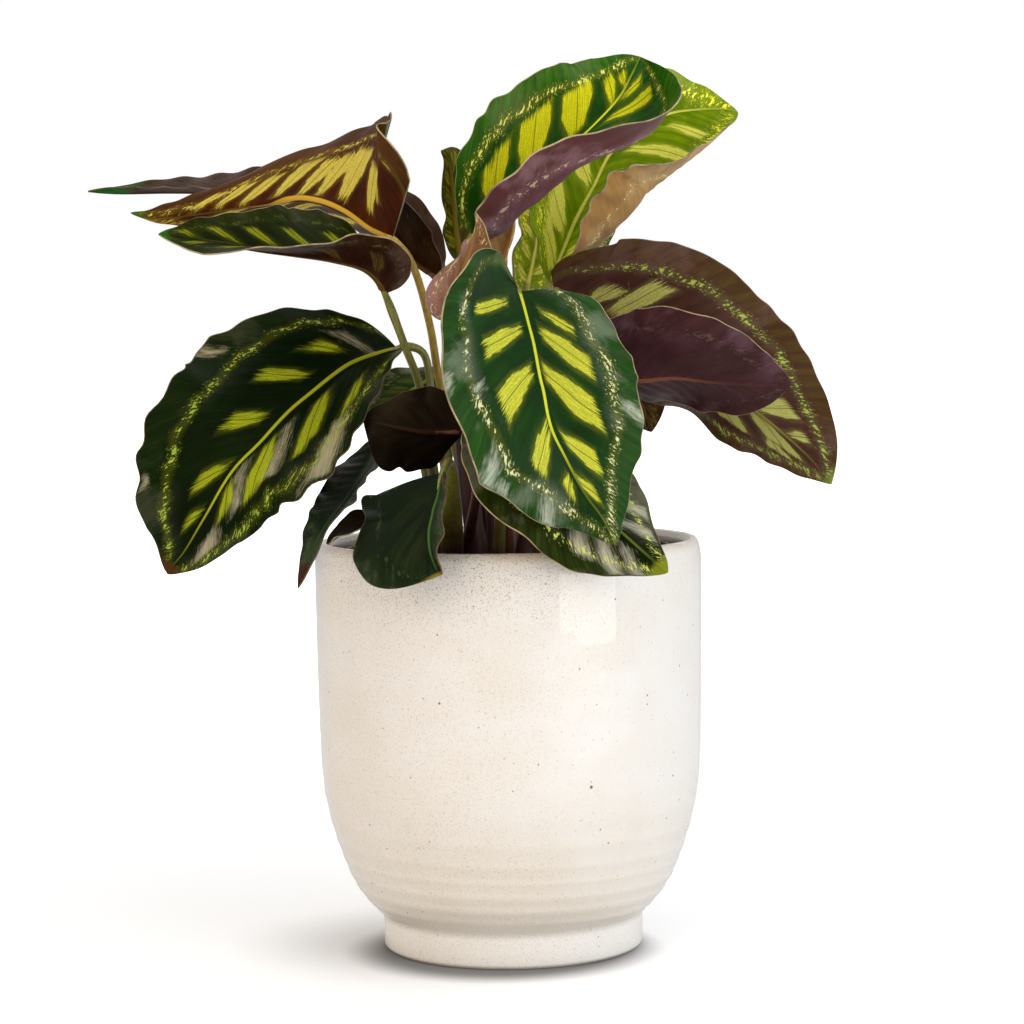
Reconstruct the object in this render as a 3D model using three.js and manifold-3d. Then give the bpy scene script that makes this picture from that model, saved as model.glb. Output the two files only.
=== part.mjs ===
// Potted flamestar calathea: a prayer plant with flame-marked leaves in a plastic nursery pot,
// standing inside a glazed stoneware planter.
// Millimetres, +Z up. The origin is the centre of the planter's flat underside, X runs to the
// plant's right as it is usually looked at, and Y runs away to its back.
import * as THREE from 'three';
import { mergeVertices } from 'three/addons/utils/BufferGeometryUtils.js';
import Module from 'manifold-3d';

const wasm = await Module();
wasm.setup();

// Driving dimensions of the planter, a cover pot for a 14 cm nursery pot
const PLANTER_RADIUS = 85;
const PLANTER_HEIGHT = 180;
const PLANTER_WALL = 7;
const PLANTER_FLOOR = 12;
const FOOT_RADIUS = 57.3;
const FOOT_HEIGHT = 15.6;
const PLANTER_SIDES = 32;

// Driving dimensions of the nursery pot and of the potting mix in it
const SEAT_GAP = 0.3;
const NURSERY_RIM_RADIUS = 72;
const NURSERY_FOOT_RADIUS = 46;
const NURSERY_HEIGHT = 164;
const NURSERY_WALL = 1.6;
const NURSERY_RIM_BAND = 9;
const NURSERY_BASE = PLANTER_FLOOR + SEAT_GAP;
const NURSERY_TOP = NURSERY_BASE + NURSERY_HEIGHT;
const NURSERY_BODY_RADIUS = NURSERY_RIM_RADIUS - 3;
const MIX_LEVEL = 166;
const MIX_DIP = 3;
const MIX_SIDES = 24;

// Driving dimensions shared by all leaves
const BLADE_THICKNESS = 0.8;
const BLADE_STEPS = 12;
const BLADE_COLUMNS = 3;
const SECTION_STEPS = 12;
const ROW_CROWDING = 0.11;
const MIDRIB_RISE = 1.5;
const MIDRIB_TIP_RISE = 0.2;
const STALK_SIDES = 6;
const STALK_ROOT_RADIUS = 2.8;
const STALK_NECK_RADIUS = 1.7;
const STALK_TIP_RADIUS = 0.9;
const STALK_RING_SPACING = 14;
const STALK_UNDER_BLADE = 14;
const STALK_SUNK = 0.7;
const STALK_NECK_START = 0.71;
const STALK_TAPER_START = 0.85;
const CURVE_DIVISIONS = 24;
const TANGENT_STEP = 0.004;
const CURL_FADE_WIDTH = 4;
const RIGHT_WAVE_SHIFT = 1.7;
const HOLE_CLEARANCE = 0.6;
const HOLE_LENGTH = 26;

// Share of each half's width over which it curls, left half first
const EVEN_ROLL = [[0.35, 0.8], [0.35, 0.8]];
const TIGHT_RIGHT_ROLL = [[0.35, 0.8], [0.3, 0.65]];

// Base colour of each leaf as the photographed side shows it
const LEAF_COLOURS = {
  green: 0x1f5a2c,
  dark: 0x16301a,
  bright: 0x86a524,
  striped: 0x6b4a1e,
  maroon: 0x4a2a30,
  mauve: 0x59405a,
  tan: 0xa98462,
  brown: 0x33201a,
};

// One entry for each leaf. stalk runs from the potting mix along the petiole and then the midrib to
// the tip, and blade is the number of its point where the blade begins. face is the way that the
// upper side looks at the blade's base, middle and tip. width, roll, fold, curl and outline give
// the left half first and then the right half: the widest half width, the share of it over which
// the half curls, its rise from the midrib and its further curl in degrees at base, middle and tip.
// outline holds the two powers that round the base and taper the tip, and wave holds the height,
// count and start of the margin's waves.
const LEAVES = [
  {
    name: 'front_leaf', look: 'green',
    stalk: [[6, -20, 154], [6, -20, 174], [17, -32, 225], [14, -56, 257], [6, -72, 288],
      [11, -84, 272], [20, -100, 240], [28, -105, 224], [34, -107, 211], [40, -108, 199],
      [44, -108, 185]], blade: 4,
    face: [[0.3, -0.9, 0.4], [0.2, -1.0, 0.1], [0.0, -1.0, 0.1]],
    width: [39, 57], outline: [0.34, 0.84], roll: EVEN_ROLL,
    fold: [[15, 10, -25], [30, 25, -10]],
    curl: [[-40, -15, -10], [30, 0, -15]], wave: [1.5, 3, 0],
  },
  {
    name: 'left_leaf', look: 'dark',
    stalk: [[-22, 6, 154], [-22, 6, 174], [-32, 2, 241], [-36, 3, 262], [-42, 0, 265],
      [-47, -6, 264], [-67, -28, 256], [-83, -44, 241], [-99, -56, 227], [-114, -58, 213],
      [-127, -58, 194], [-136, -54, 179], [-144, -52, 171]], blade: 5,
    face: [[-0.1, -0.8, 0.6], [-0.2, -0.9, 0.4], [-0.2, -1.0, 0.1]],
    width: [29, 51], outline: [0.57, 0.76], roll: EVEN_ROLL,
    fold: [[25, 0, -20], [20, 5, 20]],
    curl: [[50, 0, -35], [-10, -10, 15]], wave: [1.5, 3, 1],
  },
  {
    name: 'upper_left_leaf', look: 'maroon',
    stalk: [[-29, -8, 154], [-29, -8, 174], [-37, -19, 247], [-43, -29, 266], [-49, -29, 283],
      [-51, -27, 288], [-53, -30, 293], [-59, -36, 299], [-73, -45, 303], [-87, -52, 305],
      [-102, -56, 307], [-118, -58, 310], [-144, -58, 314]], blade: 5,
    face: [[0.2, 0.0, 1.0], [-0.3, -0.3, 0.9], [0.0, -0.5, 0.9]],
    width: [27, 27], outline: [0.5, 0.85], roll: EVEN_ROLL,
    fold: [[40, 20, 0], [40, 35, 20]],
    curl: [[0, 0, 0], [0, -5, -10]], wave: [1, 3, 2],
  },
  {
    name: 'striped_leaf', look: 'striped',
    stalk: [[-12, 14, 154], [-12, 14, 174], [-29, 10, 248], [-33, 3, 275], [-40, -8, 301],
      [-48, -10, 312], [-58, 0, 317], [-70, 12, 324], [-81, 22, 329], [-91, 30, 331],
      [-114, 44, 330], [-138, 52, 329], [-161, 56, 326], [-170, 58, 327]], blade: 5,
    face: [[0.6, 0.8, -0.1], [0.3, 0.9, 0.3], [0.1, 1.0, 0.3]],
    width: [57, 31], outline: [0.19, 0.96], roll: EVEN_ROLL,
    fold: [[-20, 60, 70], [60, 55, 20]],
    curl: [[-10, 20, 65], [0, 5, -5]], wave: [1, 3, 0],
  },
  {
    name: 'far_left_leaf', look: 'maroon',
    stalk: [[-16, 26, 154], [-16, 26, 174], [-24, 34, 249], [-25, 36, 276], [-31, 40, 295],
      [-40, 46, 303], [-49, 54, 315], [-66, 66, 327], [-94, 82, 334], [-128, 94, 337],
      [-157, 100, 338], [-181, 104, 338], [-196, 106, 339]], blade: 4,
    face: [[0.2, 0.3, 0.9], [0.0, 0.0, 1.0], [0.0, 0.0, 1.0]],
    width: [24, 35], outline: [0.47, 0.85], roll: EVEN_ROLL,
    fold: [[65, 0, 20], [25, 25, 20]],
    curl: [[5, -20, 5], [0, 5, 0]], wave: [1.5, 3, 2],
  },
  {
    name: 'top_leaf', look: 'green',
    stalk: [[-6, 6, 154], [-6, 6, 174], [-9, 6, 232], [-9, 6, 272], [-10, 4, 302], [-11, 0, 313],
      [1, -8, 326], [16, -17, 338], [39, -23, 358], [51, -22, 371], [56, -20, 380], [60, -17, 388]], blade: 5,
    face: [[0.0, -1.0, 0.2], [-0.1, -1.0, 0.3], [0.0, -0.9, 0.3]],
    width: [38, 54], outline: [0.55, 0.55], roll: TIGHT_RIGHT_ROLL,
    fold: [[30, 10, -5], [45, 50, -25]],
    curl: [[10, -15, 0], [70, 65, 100]], wave: [1, 3, 0],
  },
  {
    name: 'bright_leaf', look: 'bright',
    stalk: [[14, 10, 154], [14, 10, 174], [6, 18, 231], [14, 26, 267], [21, 32, 292],
      [28, 34, 307], [41, 33, 334], [50, 31, 349], [66, 28, 359], [88, 24, 364], [105, 22, 366]], blade: 4,
    face: [[0.0, -1.0, 0.2], [-0.4, -0.9, -0.2], [0.1, -1.0, 0.3]],
    width: [28, 61], outline: [0.55, 0.81], roll: TIGHT_RIGHT_ROLL,
    fold: [[45, 15, 0], [60, 20, -5]],
    curl: [[20, 5, 0], [45, 105, 90]], wave: [1.5, 3, 1],
  },
  {
    name: 'narrow_leaf', look: 'bright',
    stalk: [[4, 24, 154], [4, 24, 174], [4, 32, 231], [7, 40, 262], [10, 46, 288], [13, 47, 302],
      [15, 47, 314], [13, 47, 328], [10, 48, 339]], blade: 4,
    face: [[0.3, -0.9, 0.2], [0.3, -0.9, 0.2], [0.3, -0.9, 0.2]],
    width: [15, 16], outline: [0.5, 0.85], roll: EVEN_ROLL,
    fold: [[5, 15, -15], [0, 0, 0]],
    curl: [[65, 70, 55], [0, 0, 0]], wave: [0.6, 2, 1],
  },
  {
    name: 'rolled_leaf', look: 'striped',
    stalk: [[-8, 22, 154], [-8, 22, 174], [-16, 20, 241], [-17, 20, 276], [-19, 20, 302],
      [-21, 20, 316], [-22, 20, 334], [-24, 18, 347], [-27, 16, 351]], blade: 4,
    face: [[-0.3, 0.9, 0.2], [-0.3, 0.9, 0.2], [-0.3, 0.9, 0.2]],
    width: [26, 7], outline: [0.5, 0.85], roll: EVEN_ROLL,
    fold: [[10, 10, 10], [30, 40, 30]],
    curl: [[40, 40, 40], [60, 65, 60]], wave: [0.6, 2, 1],
  },
  {
    name: 'mauve_leaf', look: 'mauve',
    stalk: [[-14, -8, 154], [-14, -8, 174], [-20, -16, 233], [-24, -25, 259], [-25, -32, 276],
      [-20, -38, 289], [-14, -46, 304], [-11, -50, 314], [-11, -52, 321]], blade: 4,
    face: [[0.2, 1.0, 0.1], [0.2, 1.0, 0.1], [0.3, 0.9, 0.0]],
    width: [15, 14], outline: [0.48, 0.86], roll: EVEN_ROLL,
    fold: [[10, 5, -30], [-20, 50, 60]],
    curl: [[20, 20, 10], [10, 30, 45]], wave: [0.4, 2, 1],
  },
  {
    name: 'tan_leaf', look: 'tan',
    stalk: [[2, 4, 154], [2, 4, 174], [-3, 6, 232], [-2, 8, 267], [-3, 10, 286], [-1, 10, 300],
      [3, 8, 313], [5, 6, 322], [6, 6, 327]], blade: 4,
    face: [[0.1, 1.0, 0.1], [0.0, 1.0, 0.1], [0.0, 1.0, 0.1]],
    width: [2, 18], outline: [0.5, 0.85], roll: EVEN_ROLL,
    fold: [[10, 10, 10], [65, 35, 5]],
    curl: [[30, 30, 30], [75, 40, 30]], wave: [0.3, 2, 1],
  },
  {
    name: 'right_leaf', look: 'maroon',
    stalk: [[18, 0, 154], [18, 0, 174], [13, 6, 232], [18, 8, 267], [22, 5, 289], [35, 2, 282],
      [51, 1, 272], [68, 0, 262], [86, 2, 251], [112, 10, 233], [135, 22, 213], [146, 30, 200]], blade: 4,
    face: [[0.0, 0.9, 0.4], [0.1, 0.9, 0.4], [0.3, 0.9, 0.3]],
    width: [35, 46], outline: [0.47, 0.88], roll: EVEN_ROLL,
    fold: [[5, 25, -5], [5, 25, 15]],
    curl: [[0, 20, -10], [0, 10, -5]], wave: [2, 4, 0],
  },
  {
    name: 'right_small_leaf', look: 'mauve',
    stalk: [[16, -12, 154], [16, -12, 174], [17, -22, 211], [27, -30, 237], [36, -34, 247],
      [46, -36, 250], [57, -38, 250], [72, -38, 251], [88, -36, 249], [109, -30, 247],
      [123, -24, 247]], blade: 4,
    face: [[0.0, 0.9, 0.4], [0.0, 0.9, 0.5], [0.0, 0.9, 0.5]],
    width: [30, 33], outline: [0.49, 0.86], roll: EVEN_ROLL,
    fold: [[50, 35, -10], [15, -10, -10]],
    curl: [[10, 5, -10], [20, 25, 0]], wave: [1, 3, 0],
  },
  {
    name: 'back_leaf', look: 'green',
    stalk: [[16, 26, 154], [16, 26, 174], [10, 34, 231], [14, 44, 262], [19, 60, 285],
      [26, 66, 294], [35, 72, 304], [45, 76, 313], [52, 78, 317]], blade: 4,
    face: [[-0.3, -0.9, 0.4], [-0.3, -0.9, 0.4], [-0.3, -0.9, 0.4]],
    width: [16, 12], outline: [0.5, 0.85], roll: EVEN_ROLL,
    fold: [[0, 0, 0], [0, 5, -5]],
    curl: [[0, 0, 0], [0, 0, 0]], wave: [0.6, 2, 1],
  },
  {
    name: 'back_right_leaf', look: 'maroon',
    stalk: [[24, 14, 154], [24, 14, 174], [24, 30, 217], [34, 38, 244], [43, 44, 259],
      [53, 46, 250], [61, 46, 239], [66, 44, 224]], blade: 4,
    face: [[0.1, 0.9, 0.4], [0.1, 0.9, 0.4], [0.1, 0.9, 0.4]],
    width: [16, 16], outline: [0.5, 0.85], roll: EVEN_ROLL,
    fold: [[5, 5, 5], [5, 5, 5]],
    curl: [[0, 0, 0], [0, 0, 0]], wave: [0.6, 2, 1],
  },
  {
    name: 'lower_front_leaf', look: 'dark',
    stalk: [[-4, -28, 154], [-4, -28, 174], [-3, -36, 199], [-6, -46, 221], [-6, -52, 229],
      [6, -64, 222], [22, -79, 209], [36, -89, 198], [50, -97, 186], [59, -100, 178],
      [65, -102, 173]], blade: 4,
    face: [[0.1, -0.6, 0.8], [0.1, -0.8, 0.6], [-0.1, -0.8, 0.5]],
    width: [32, 40], outline: [0.46, 0.87], roll: EVEN_ROLL,
    fold: [[5, -10, -25], [35, 30, -40]],
    curl: [[0, -5, -10], [-15, -50, -70]], wave: [1.5, 3, 2],
  },
  {
    name: 'hanging_leaf', look: 'dark',
    stalk: [[-24, -22, 154], [-24, -22, 174], [-24, -46, 200], [-23, -68, 214], [-24, -82, 218],
      [-26, -90, 214], [-28, -95, 206], [-30, -97, 198], [-31, -98, 189], [-30, -98, 181],
      [-27, -97, 173]], blade: 5,
    face: [[-0.2, -1.0, 0.1], [-0.2, -1.0, 0.1], [-0.2, -1.0, 0.1]],
    width: [9, 45], outline: [0.37, 0.56], roll: EVEN_ROLL,
    fold: [[60, 40, 60], [-20, -30, 20]],
    curl: [[10, 0, 10], [-20, -15, 5]], wave: [1, 3, 0],
  },
  {
    name: 'dark_leaf', look: 'brown',
    stalk: [[-18, -16, 154], [-18, -16, 174], [-13, -33, 204], [-13, -44, 225], [-17, -47, 229],
      [-35, -53, 230], [-46, -54, 232], [-56, -52, 234], [-60, -50, 234]], blade: 4,
    face: [[0.0, 0.9, 0.3], [0.0, 1.0, 0.3], [0.0, 1.0, 0.2]],
    width: [19, 29], outline: [0.5, 0.85], roll: EVEN_ROLL,
    fold: [[10, 15, 15], [30, 30, -35]],
    curl: [[0, 5, 5], [10, 10, -15]], wave: [0.8, 3, 0],
  },
  {
    name: 'shaded_leaf', look: 'dark',
    stalk: [[-28, 16, 154], [-28, 16, 174], [-26, 30, 222], [-27, 34, 240], [-30, 36, 251],
      [-37, 36, 248], [-46, 34, 242], [-55, 30, 235], [-63, 26, 227]], blade: 4,
    face: [[-0.2, -0.9, 0.3], [-0.2, -0.9, 0.3], [-0.2, -0.9, 0.3]],
    width: [18, 14], outline: [0.51, 0.85], roll: EVEN_ROLL,
    fold: [[0, 0, 0], [-30, 5, 0]],
    curl: [[0, 0, 0], [-10, 0, 0]], wave: [0.8, 3, 0],
  },
  {
    name: 'folded_leaf', look: 'dark',
    stalk: [[-34, -4, 154], [-34, -4, 174], [-35, -4, 206], [-41, -2, 224], [-51, -8, 225],
      [-60, -28, 213], [-68, -51, 201], [-77, -77, 189], [-82, -88, 178], [-86, -92, 168]], blade: 4,
    face: [[-0.4, -0.8, 0.4], [-0.4, -0.8, 0.4], [-0.4, -0.9, 0.3]],
    width: [10, 12], outline: [0.49, 0.87], roll: EVEN_ROLL,
    fold: [[30, 30, 35], [10, 35, 0]],
    curl: [[-5, -10, -10], [0, 15, -5]], wave: [1, 3, 0],
  },
  {
    name: 'dried_leaf', look: 'brown',
    stalk: [[-44, -20, 154], [-44, -20, 174], [-47, -34, 187], [-54, -44, 191], [-60, -48, 192],
      [-67, -48, 189], [-72, -46, 186], [-77, -44, 182]], blade: 3,
    face: [[0.0, -0.6, 0.8], [0.0, -0.6, 0.8], [0.0, -0.6, 0.8]],
    width: [7, 6], outline: [0.5, 0.85], roll: EVEN_ROLL,
    fold: [[15, 25, 30], [15, 25, 30]],
    curl: [[0, 0, 0], [0, 0, 0]], wave: [0.4, 3, 0],
  },
];

function smooth(x) {
  const c = Math.min(Math.max(x, 0), 1);
  return c * c * (3 - 2 * c);
}

// A value given at the blade's base, middle and tip, eased between them
function along(values, t) {
  const x = Math.min(Math.max(t, 0), 1) * (values.length - 1);
  const i = Math.min(Math.floor(x), values.length - 2);
  const w = smooth(x - i);
  return values[i] * (1 - w) + values[i + 1] * w;
}

// Half width of a blade, 0 at its base and its tip and 1 at its widest
function outlineAt(t, [baseRound, tipTaper]) {
  const widest = baseRound / (baseRound + tipTaper);
  const peak = widest ** baseRound * (1 - widest) ** tipTaper;
  return (Math.max(t, 0) ** baseRound * Math.max(1 - t, 0) ** tipTaper) / peak;
}

function stalkCurve(leaf) {
  const points = leaf.stalk.map((p) => new THREE.Vector3(...p));
  const curve = new THREE.CatmullRomCurve3(points, false, 'centripetal');
  curve.arcLengthDivisions = CURVE_DIVISIONS * (points.length - 1);
  const lengths = curve.getLengths();
  const total = lengths[lengths.length - 1];
  const bladeStart = lengths[CURVE_DIVISIONS * leaf.blade] / total;
  return { curve, total, bladeStart };
}

// One half of the blade's cross-section at t: points from the midrib out, with their normals.
// side is -1 for the left half and 1 for the right half, seen from above with the tip away.
function halfSection(leaf, path, t, side) {
  const u = path.bladeStart + t * (1 - path.bladeStart);
  const centre = path.curve.getPointAt(u);
  const tangent = path.curve.getPointAt(Math.min(u + TANGENT_STEP, 1));
  tangent.sub(path.curve.getPointAt(Math.max(u - TANGENT_STEP, 0))).normalize();
  const face = new THREE.Vector3(...[0, 1, 2].map((k) => along(leaf.face.map((f) => f[k]), t)));
  face.addScaledVector(tangent, -face.dot(tangent)).normalize();
  const across = new THREE.Vector3().crossVectors(tangent, face).multiplyScalar(side);
  const half = side < 0 ? 0 : 1;
  const width = leaf.width[half] * outlineAt(t, leaf.outline);
  const fold = THREE.MathUtils.degToRad(along(leaf.fold[half], t));
  const curlFade = width / (width + CURL_FADE_WIDTH);
  const curl = THREE.MathUtils.degToRad(along(leaf.curl[half], t)) * curlFade;
  const [rollStart, rollEnd] = leaf.roll[half];
  const bend = (s) => fold + curl * smooth((s - rollStart) / (rollEnd - rollStart));
  const [waveHeight, waveCount, wavePhase] = leaf.wave;
  const sideShift = side > 0 ? RIGHT_WAVE_SHIFT : 0;
  const ripple = waveHeight * Math.sin(2 * Math.PI * waveCount * t + wavePhase + sideShift)
    * Math.sqrt(Math.sin(Math.PI * Math.min(Math.max(t, 0), 1)));
  const points = [];
  let x = 0;
  let h = 0;
  for (let k = 0; k <= SECTION_STEPS; k += 1) {
    const s = k / SECTION_STEPS;
    const before = bend(Math.max(s - 0.5 / SECTION_STEPS, 0.5 / SECTION_STEPS));
    const after = bend(Math.min(s + 0.5 / SECTION_STEPS, 1 - 0.5 / SECTION_STEPS));
    const angle = (before + after) / 2;
    const normal = face.clone().multiplyScalar(Math.cos(angle)).addScaledVector(across, -Math.sin(angle));
    const point = centre.clone().addScaledVector(across, x).addScaledVector(face, h);
    point.addScaledVector(normal, ripple * s * s);
    points.push({ point, normal });
    x += (Math.cos(after) * width) / SECTION_STEPS;
    h += (Math.sin(after) * width) / SECTION_STEPS;
  }
  const every = SECTION_STEPS / BLADE_COLUMNS;
  return points.filter((_, k) => k % every === 0);
}

// A whole cross-section from the left margin over the midrib to the right margin
function section(leaf, path, t) {
  const left = halfSection(leaf, path, t, -1);
  const right = halfSection(leaf, path, t, 1);
  const middle = { point: left[0].point, normal: left[0].normal.clone().add(right[0].normal).normalize() };
  return [...left.slice(1).reverse(), middle, ...right.slice(1)];
}

// Thin closed blade with curled, waved halves and the midrib raised along its underside
function bladeGeometry(leaf, path) {
  const positions = [];
  const triangles = [];
  const columns = 2 * BLADE_COLUMNS + 1;
  const rows = [];
  const addVertex = (p) => positions.push(p.x, p.y, p.z) / 3 - 1;
  for (let i = 0; i <= BLADE_STEPS; i += 1) {
    const x = i / BLADE_STEPS;
    const t = x - ROW_CROWDING * Math.sin(2 * Math.PI * x);
    const cut = section(leaf, path, Math.min(Math.max(t, 0), 1));
    const end = i === 0 || i === BLADE_STEPS;
    const used = end ? [cut[BLADE_COLUMNS]] : cut;
    const rise = MIDRIB_RISE * (1 - t) + MIDRIB_TIP_RISE;
    const top = [];
    const under = [];
    used.forEach(({ point, normal }, j) => {
      const onMidrib = !end && j === BLADE_COLUMNS;
      const depth = BLADE_THICKNESS / 2 + (onMidrib ? rise : 0);
      top.push(addVertex(point.clone().addScaledVector(normal, BLADE_THICKNESS / 2)));
      under.push(addVertex(point.clone().addScaledVector(normal, -depth)));
    });
    rows.push({ top, under });
  }
  const corner = (row, j) => ({ top: rows[row].top[j], under: rows[row].under[j] });
  const addFace = (a, b, c) => {
    triangles.push(a.top, b.top, c.top);
    triangles.push(a.under, c.under, b.under);
  };
  const addEdge = (a, b) => {
    triangles.push(a.top, b.top, a.under);
    triangles.push(b.top, b.under, a.under);
  };
  const last = BLADE_STEPS;
  for (let j = 0; j < columns - 1; j += 1) {
    addFace(corner(0, 0), corner(1, j + 1), corner(1, j));
    addFace(corner(last, 0), corner(last - 1, j), corner(last - 1, j + 1));
    for (let i = 1; i < last - 1; i += 1) {
      const [a, b, c, d] = [corner(i, j), corner(i, j + 1), corner(i + 1, j + 1), corner(i + 1, j)];
      if (j < BLADE_COLUMNS) {
        addFace(a, b, c);
        addFace(a, c, d);
      } else {
        addFace(a, b, d);
        addFace(b, c, d);
      }
    }
  }
  const margin = (i, j) => (i === 0 || i === last ? corner(i, 0) : corner(i, j));
  for (let i = 0; i < last; i += 1) {
    addEdge(margin(i, 0), margin(i + 1, 0));
    addEdge(margin(i + 1, columns - 1), margin(i, columns - 1));
  }
  const geometry = new THREE.BufferGeometry();
  geometry.setAttribute('position', new THREE.Float32BufferAttribute(positions, 3));
  geometry.setIndex(triangles);
  return geometry;
}

// Radius of the stalk at a share of its length: sheathed at the root, slim at the neck
function stalkRadius(share) {
  const neckShare = smooth(share / STALK_NECK_START);
  const tipShare = smooth((share - STALK_TAPER_START) / (1 - STALK_TAPER_START));
  const neck = THREE.MathUtils.lerp(STALK_ROOT_RADIUS, STALK_NECK_RADIUS, neckShare);
  return THREE.MathUtils.lerp(neck, STALK_TIP_RADIUS, tipShare);
}

// Closed tapering tube from inside the potting mix to a little way under the blade, or to endShare
// of that length. clearance widens it and lowers its foot, which gives the hole that it stands in.
function stalkGeometry(leaf, path, clearance, endShare) {
  const bladeShare = STALK_UNDER_BLADE / path.total;
  const full = path.bladeStart + bladeShare;
  const end = full * endShare;
  const ringCount = Math.max(3, Math.round((end * path.total) / STALK_RING_SPACING));
  const positions = [];
  const triangles = [];
  let reference = new THREE.Vector3(1, 0, 0);
  for (let i = 0; i <= ringCount; i += 1) {
    const u = (end * i) / ringCount;
    const centre = path.curve.getPointAt(u);
    const tangent = path.curve.getTangentAt(u);
    reference = reference.clone().addScaledVector(tangent, -reference.dot(tangent)).normalize();
    const other = new THREE.Vector3().crossVectors(tangent, reference);
    const radius = stalkRadius(u / full) + clearance;
    const sunk = smooth((u - path.bladeStart) / (bladeShare / 2));
    const face = new THREE.Vector3(...leaf.face[0]);
    face.addScaledVector(tangent, -face.dot(tangent)).normalize();
    centre.addScaledVector(face, -sunk * STALK_SUNK);
    if (i === 0) centre.z -= clearance;
    for (let k = 0; k < STALK_SIDES; k += 1) {
      const angle = (2 * Math.PI * k) / STALK_SIDES;
      const p = centre.clone().addScaledVector(reference, radius * Math.cos(angle));
      p.addScaledVector(other, radius * Math.sin(angle));
      positions.push(p.x, p.y, p.z);
    }
  }
  const at = (i, k) => i * STALK_SIDES + (k % STALK_SIDES);
  for (let i = 0; i < ringCount; i += 1) {
    for (let k = 0; k < STALK_SIDES; k += 1) {
      triangles.push(at(i, k), at(i, k + 1), at(i + 1, k));
      triangles.push(at(i + 1, k), at(i, k + 1), at(i + 1, k + 1));
    }
  }
  for (let k = 1; k < STALK_SIDES - 1; k += 1) {
    triangles.push(at(0, 0), at(0, k + 1), at(0, k));
    triangles.push(at(ringCount, 0), at(ringCount, k), at(ringCount, k + 1));
  }
  const geometry = new THREE.BufferGeometry();
  geometry.setAttribute('position', new THREE.Float32BufferAttribute(positions, 3));
  geometry.setIndex(triangles);
  return geometry;
}

// The plain hole in the potting mix that a stalk stands in
function holeGeometry(leaf, path) {
  const full = path.bladeStart * path.total + STALK_UNDER_BLADE;
  return stalkGeometry(leaf, path, HOLE_CLEARANCE, HOLE_LENGTH / full);
}

function solidOf(geometry) {
  const bare = geometry.clone();
  bare.deleteAttribute('normal');
  bare.deleteAttribute('uv');
  const merged = mergeVertices(bare, 1e-4);
  const vertProperties = Float32Array.from(merged.attributes.position.array);
  const triVerts = Uint32Array.from(merged.index.array);
  return new wasm.Manifold(new wasm.Mesh({ numProp: 3, vertProperties, triVerts }));
}

function geometryOf(solid) {
  const mesh = solid.getMesh();
  const geometry = new THREE.BufferGeometry();
  geometry.setAttribute('position', new THREE.Float32BufferAttribute(Array.from(mesh.vertProperties), 3));
  geometry.setIndex(Array.from(mesh.triVerts));
  geometry.computeVertexNormals();
  return geometry;
}

// Blade and stalk grown as one piece
function makeLeaf(leaf) {
  const path = stalkCurve(leaf);
  const blade = solidOf(bladeGeometry(leaf, path));
  const stalk = solidOf(stalkGeometry(leaf, path, 0, 1));
  const mesh = new THREE.Mesh(geometryOf(blade.add(stalk)), leafMaterial(leaf.look));
  mesh.name = leaf.name;
  return mesh;
}

function leafMaterial(look) {
  return new THREE.MeshStandardMaterial({ color: LEAF_COLOURS[look], roughness: 0.4, metalness: 0 });
}

function lathe(points, sides) {
  const profile = points.map(([r, z]) => new THREE.Vector2(r, z));
  const geometry = new THREE.LatheGeometry(profile, sides);
  geometry.rotateX(Math.PI / 2);
  return geometry;
}

// Outer and inner profile of the planter: set-in foot, round bowl, upright wall, rounded rim
function makePlanter() {
  const outer = [
    [0, 0], [FOOT_RADIUS - 1.5, 0], [FOOT_RADIUS, 1.5], [FOOT_RADIUS, FOOT_HEIGHT - 2],
    [FOOT_RADIUS + 0.9, FOOT_HEIGHT], [62, 19.5], [67.3, 25.6], [71.5, 33], [74.6, 41],
    [77.6, 49.5], [80.2, 58.5], [82.4, 69], [83.7, 82], [84.3, 105], [84.8, 140],
    [PLANTER_RADIUS, 172],
  ];
  const rimMiddle = PLANTER_RADIUS - PLANTER_WALL / 2;
  const rim = [[PLANTER_RADIUS - 0.9, PLANTER_HEIGHT - 2.6], [rimMiddle + 1.1, PLANTER_HEIGHT],
    [rimMiddle - 1.1, PLANTER_HEIGHT], [PLANTER_RADIUS - PLANTER_WALL + 0.9, PLANTER_HEIGHT - 2.6]];
  const inner = [
    [PLANTER_RADIUS - PLANTER_WALL, 170], [77, 110], [75.6, 75], [71, 50], [64, 34], [55, 21],
    [50, PLANTER_FLOOR], [0, PLANTER_FLOOR],
  ];
  const glaze = new THREE.MeshStandardMaterial({ color: 0xeee8dd, roughness: 0.3, metalness: 0 });
  const mesh = new THREE.Mesh(lathe([...outer, ...rim, ...inner], PLANTER_SIDES), glaze);
  mesh.name = 'planter';
  return mesh;
}

// Thin tapering nursery pot with a wider rim band
function makeNurseryPot() {
  const band = NURSERY_TOP - NURSERY_RIM_BAND;
  const profile = [
    [0, NURSERY_BASE], [NURSERY_FOOT_RADIUS, NURSERY_BASE],
    [NURSERY_BODY_RADIUS, band], [NURSERY_RIM_RADIUS, band + 0.8], [NURSERY_RIM_RADIUS, NURSERY_TOP],
    [NURSERY_RIM_RADIUS - NURSERY_WALL, NURSERY_TOP], [NURSERY_RIM_RADIUS - NURSERY_WALL, band + 2.4],
    [NURSERY_BODY_RADIUS - NURSERY_WALL, band + 1.6],
    [NURSERY_FOOT_RADIUS - NURSERY_WALL, NURSERY_BASE + NURSERY_WALL], [0, NURSERY_BASE + NURSERY_WALL],
  ];
  const plastic = new THREE.MeshStandardMaterial({ color: 0x17161a, roughness: 0.45, metalness: 0 });
  const mesh = new THREE.Mesh(lathe(profile, MIX_SIDES), plastic);
  mesh.name = 'nursery_pot';
  return mesh;
}

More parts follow.
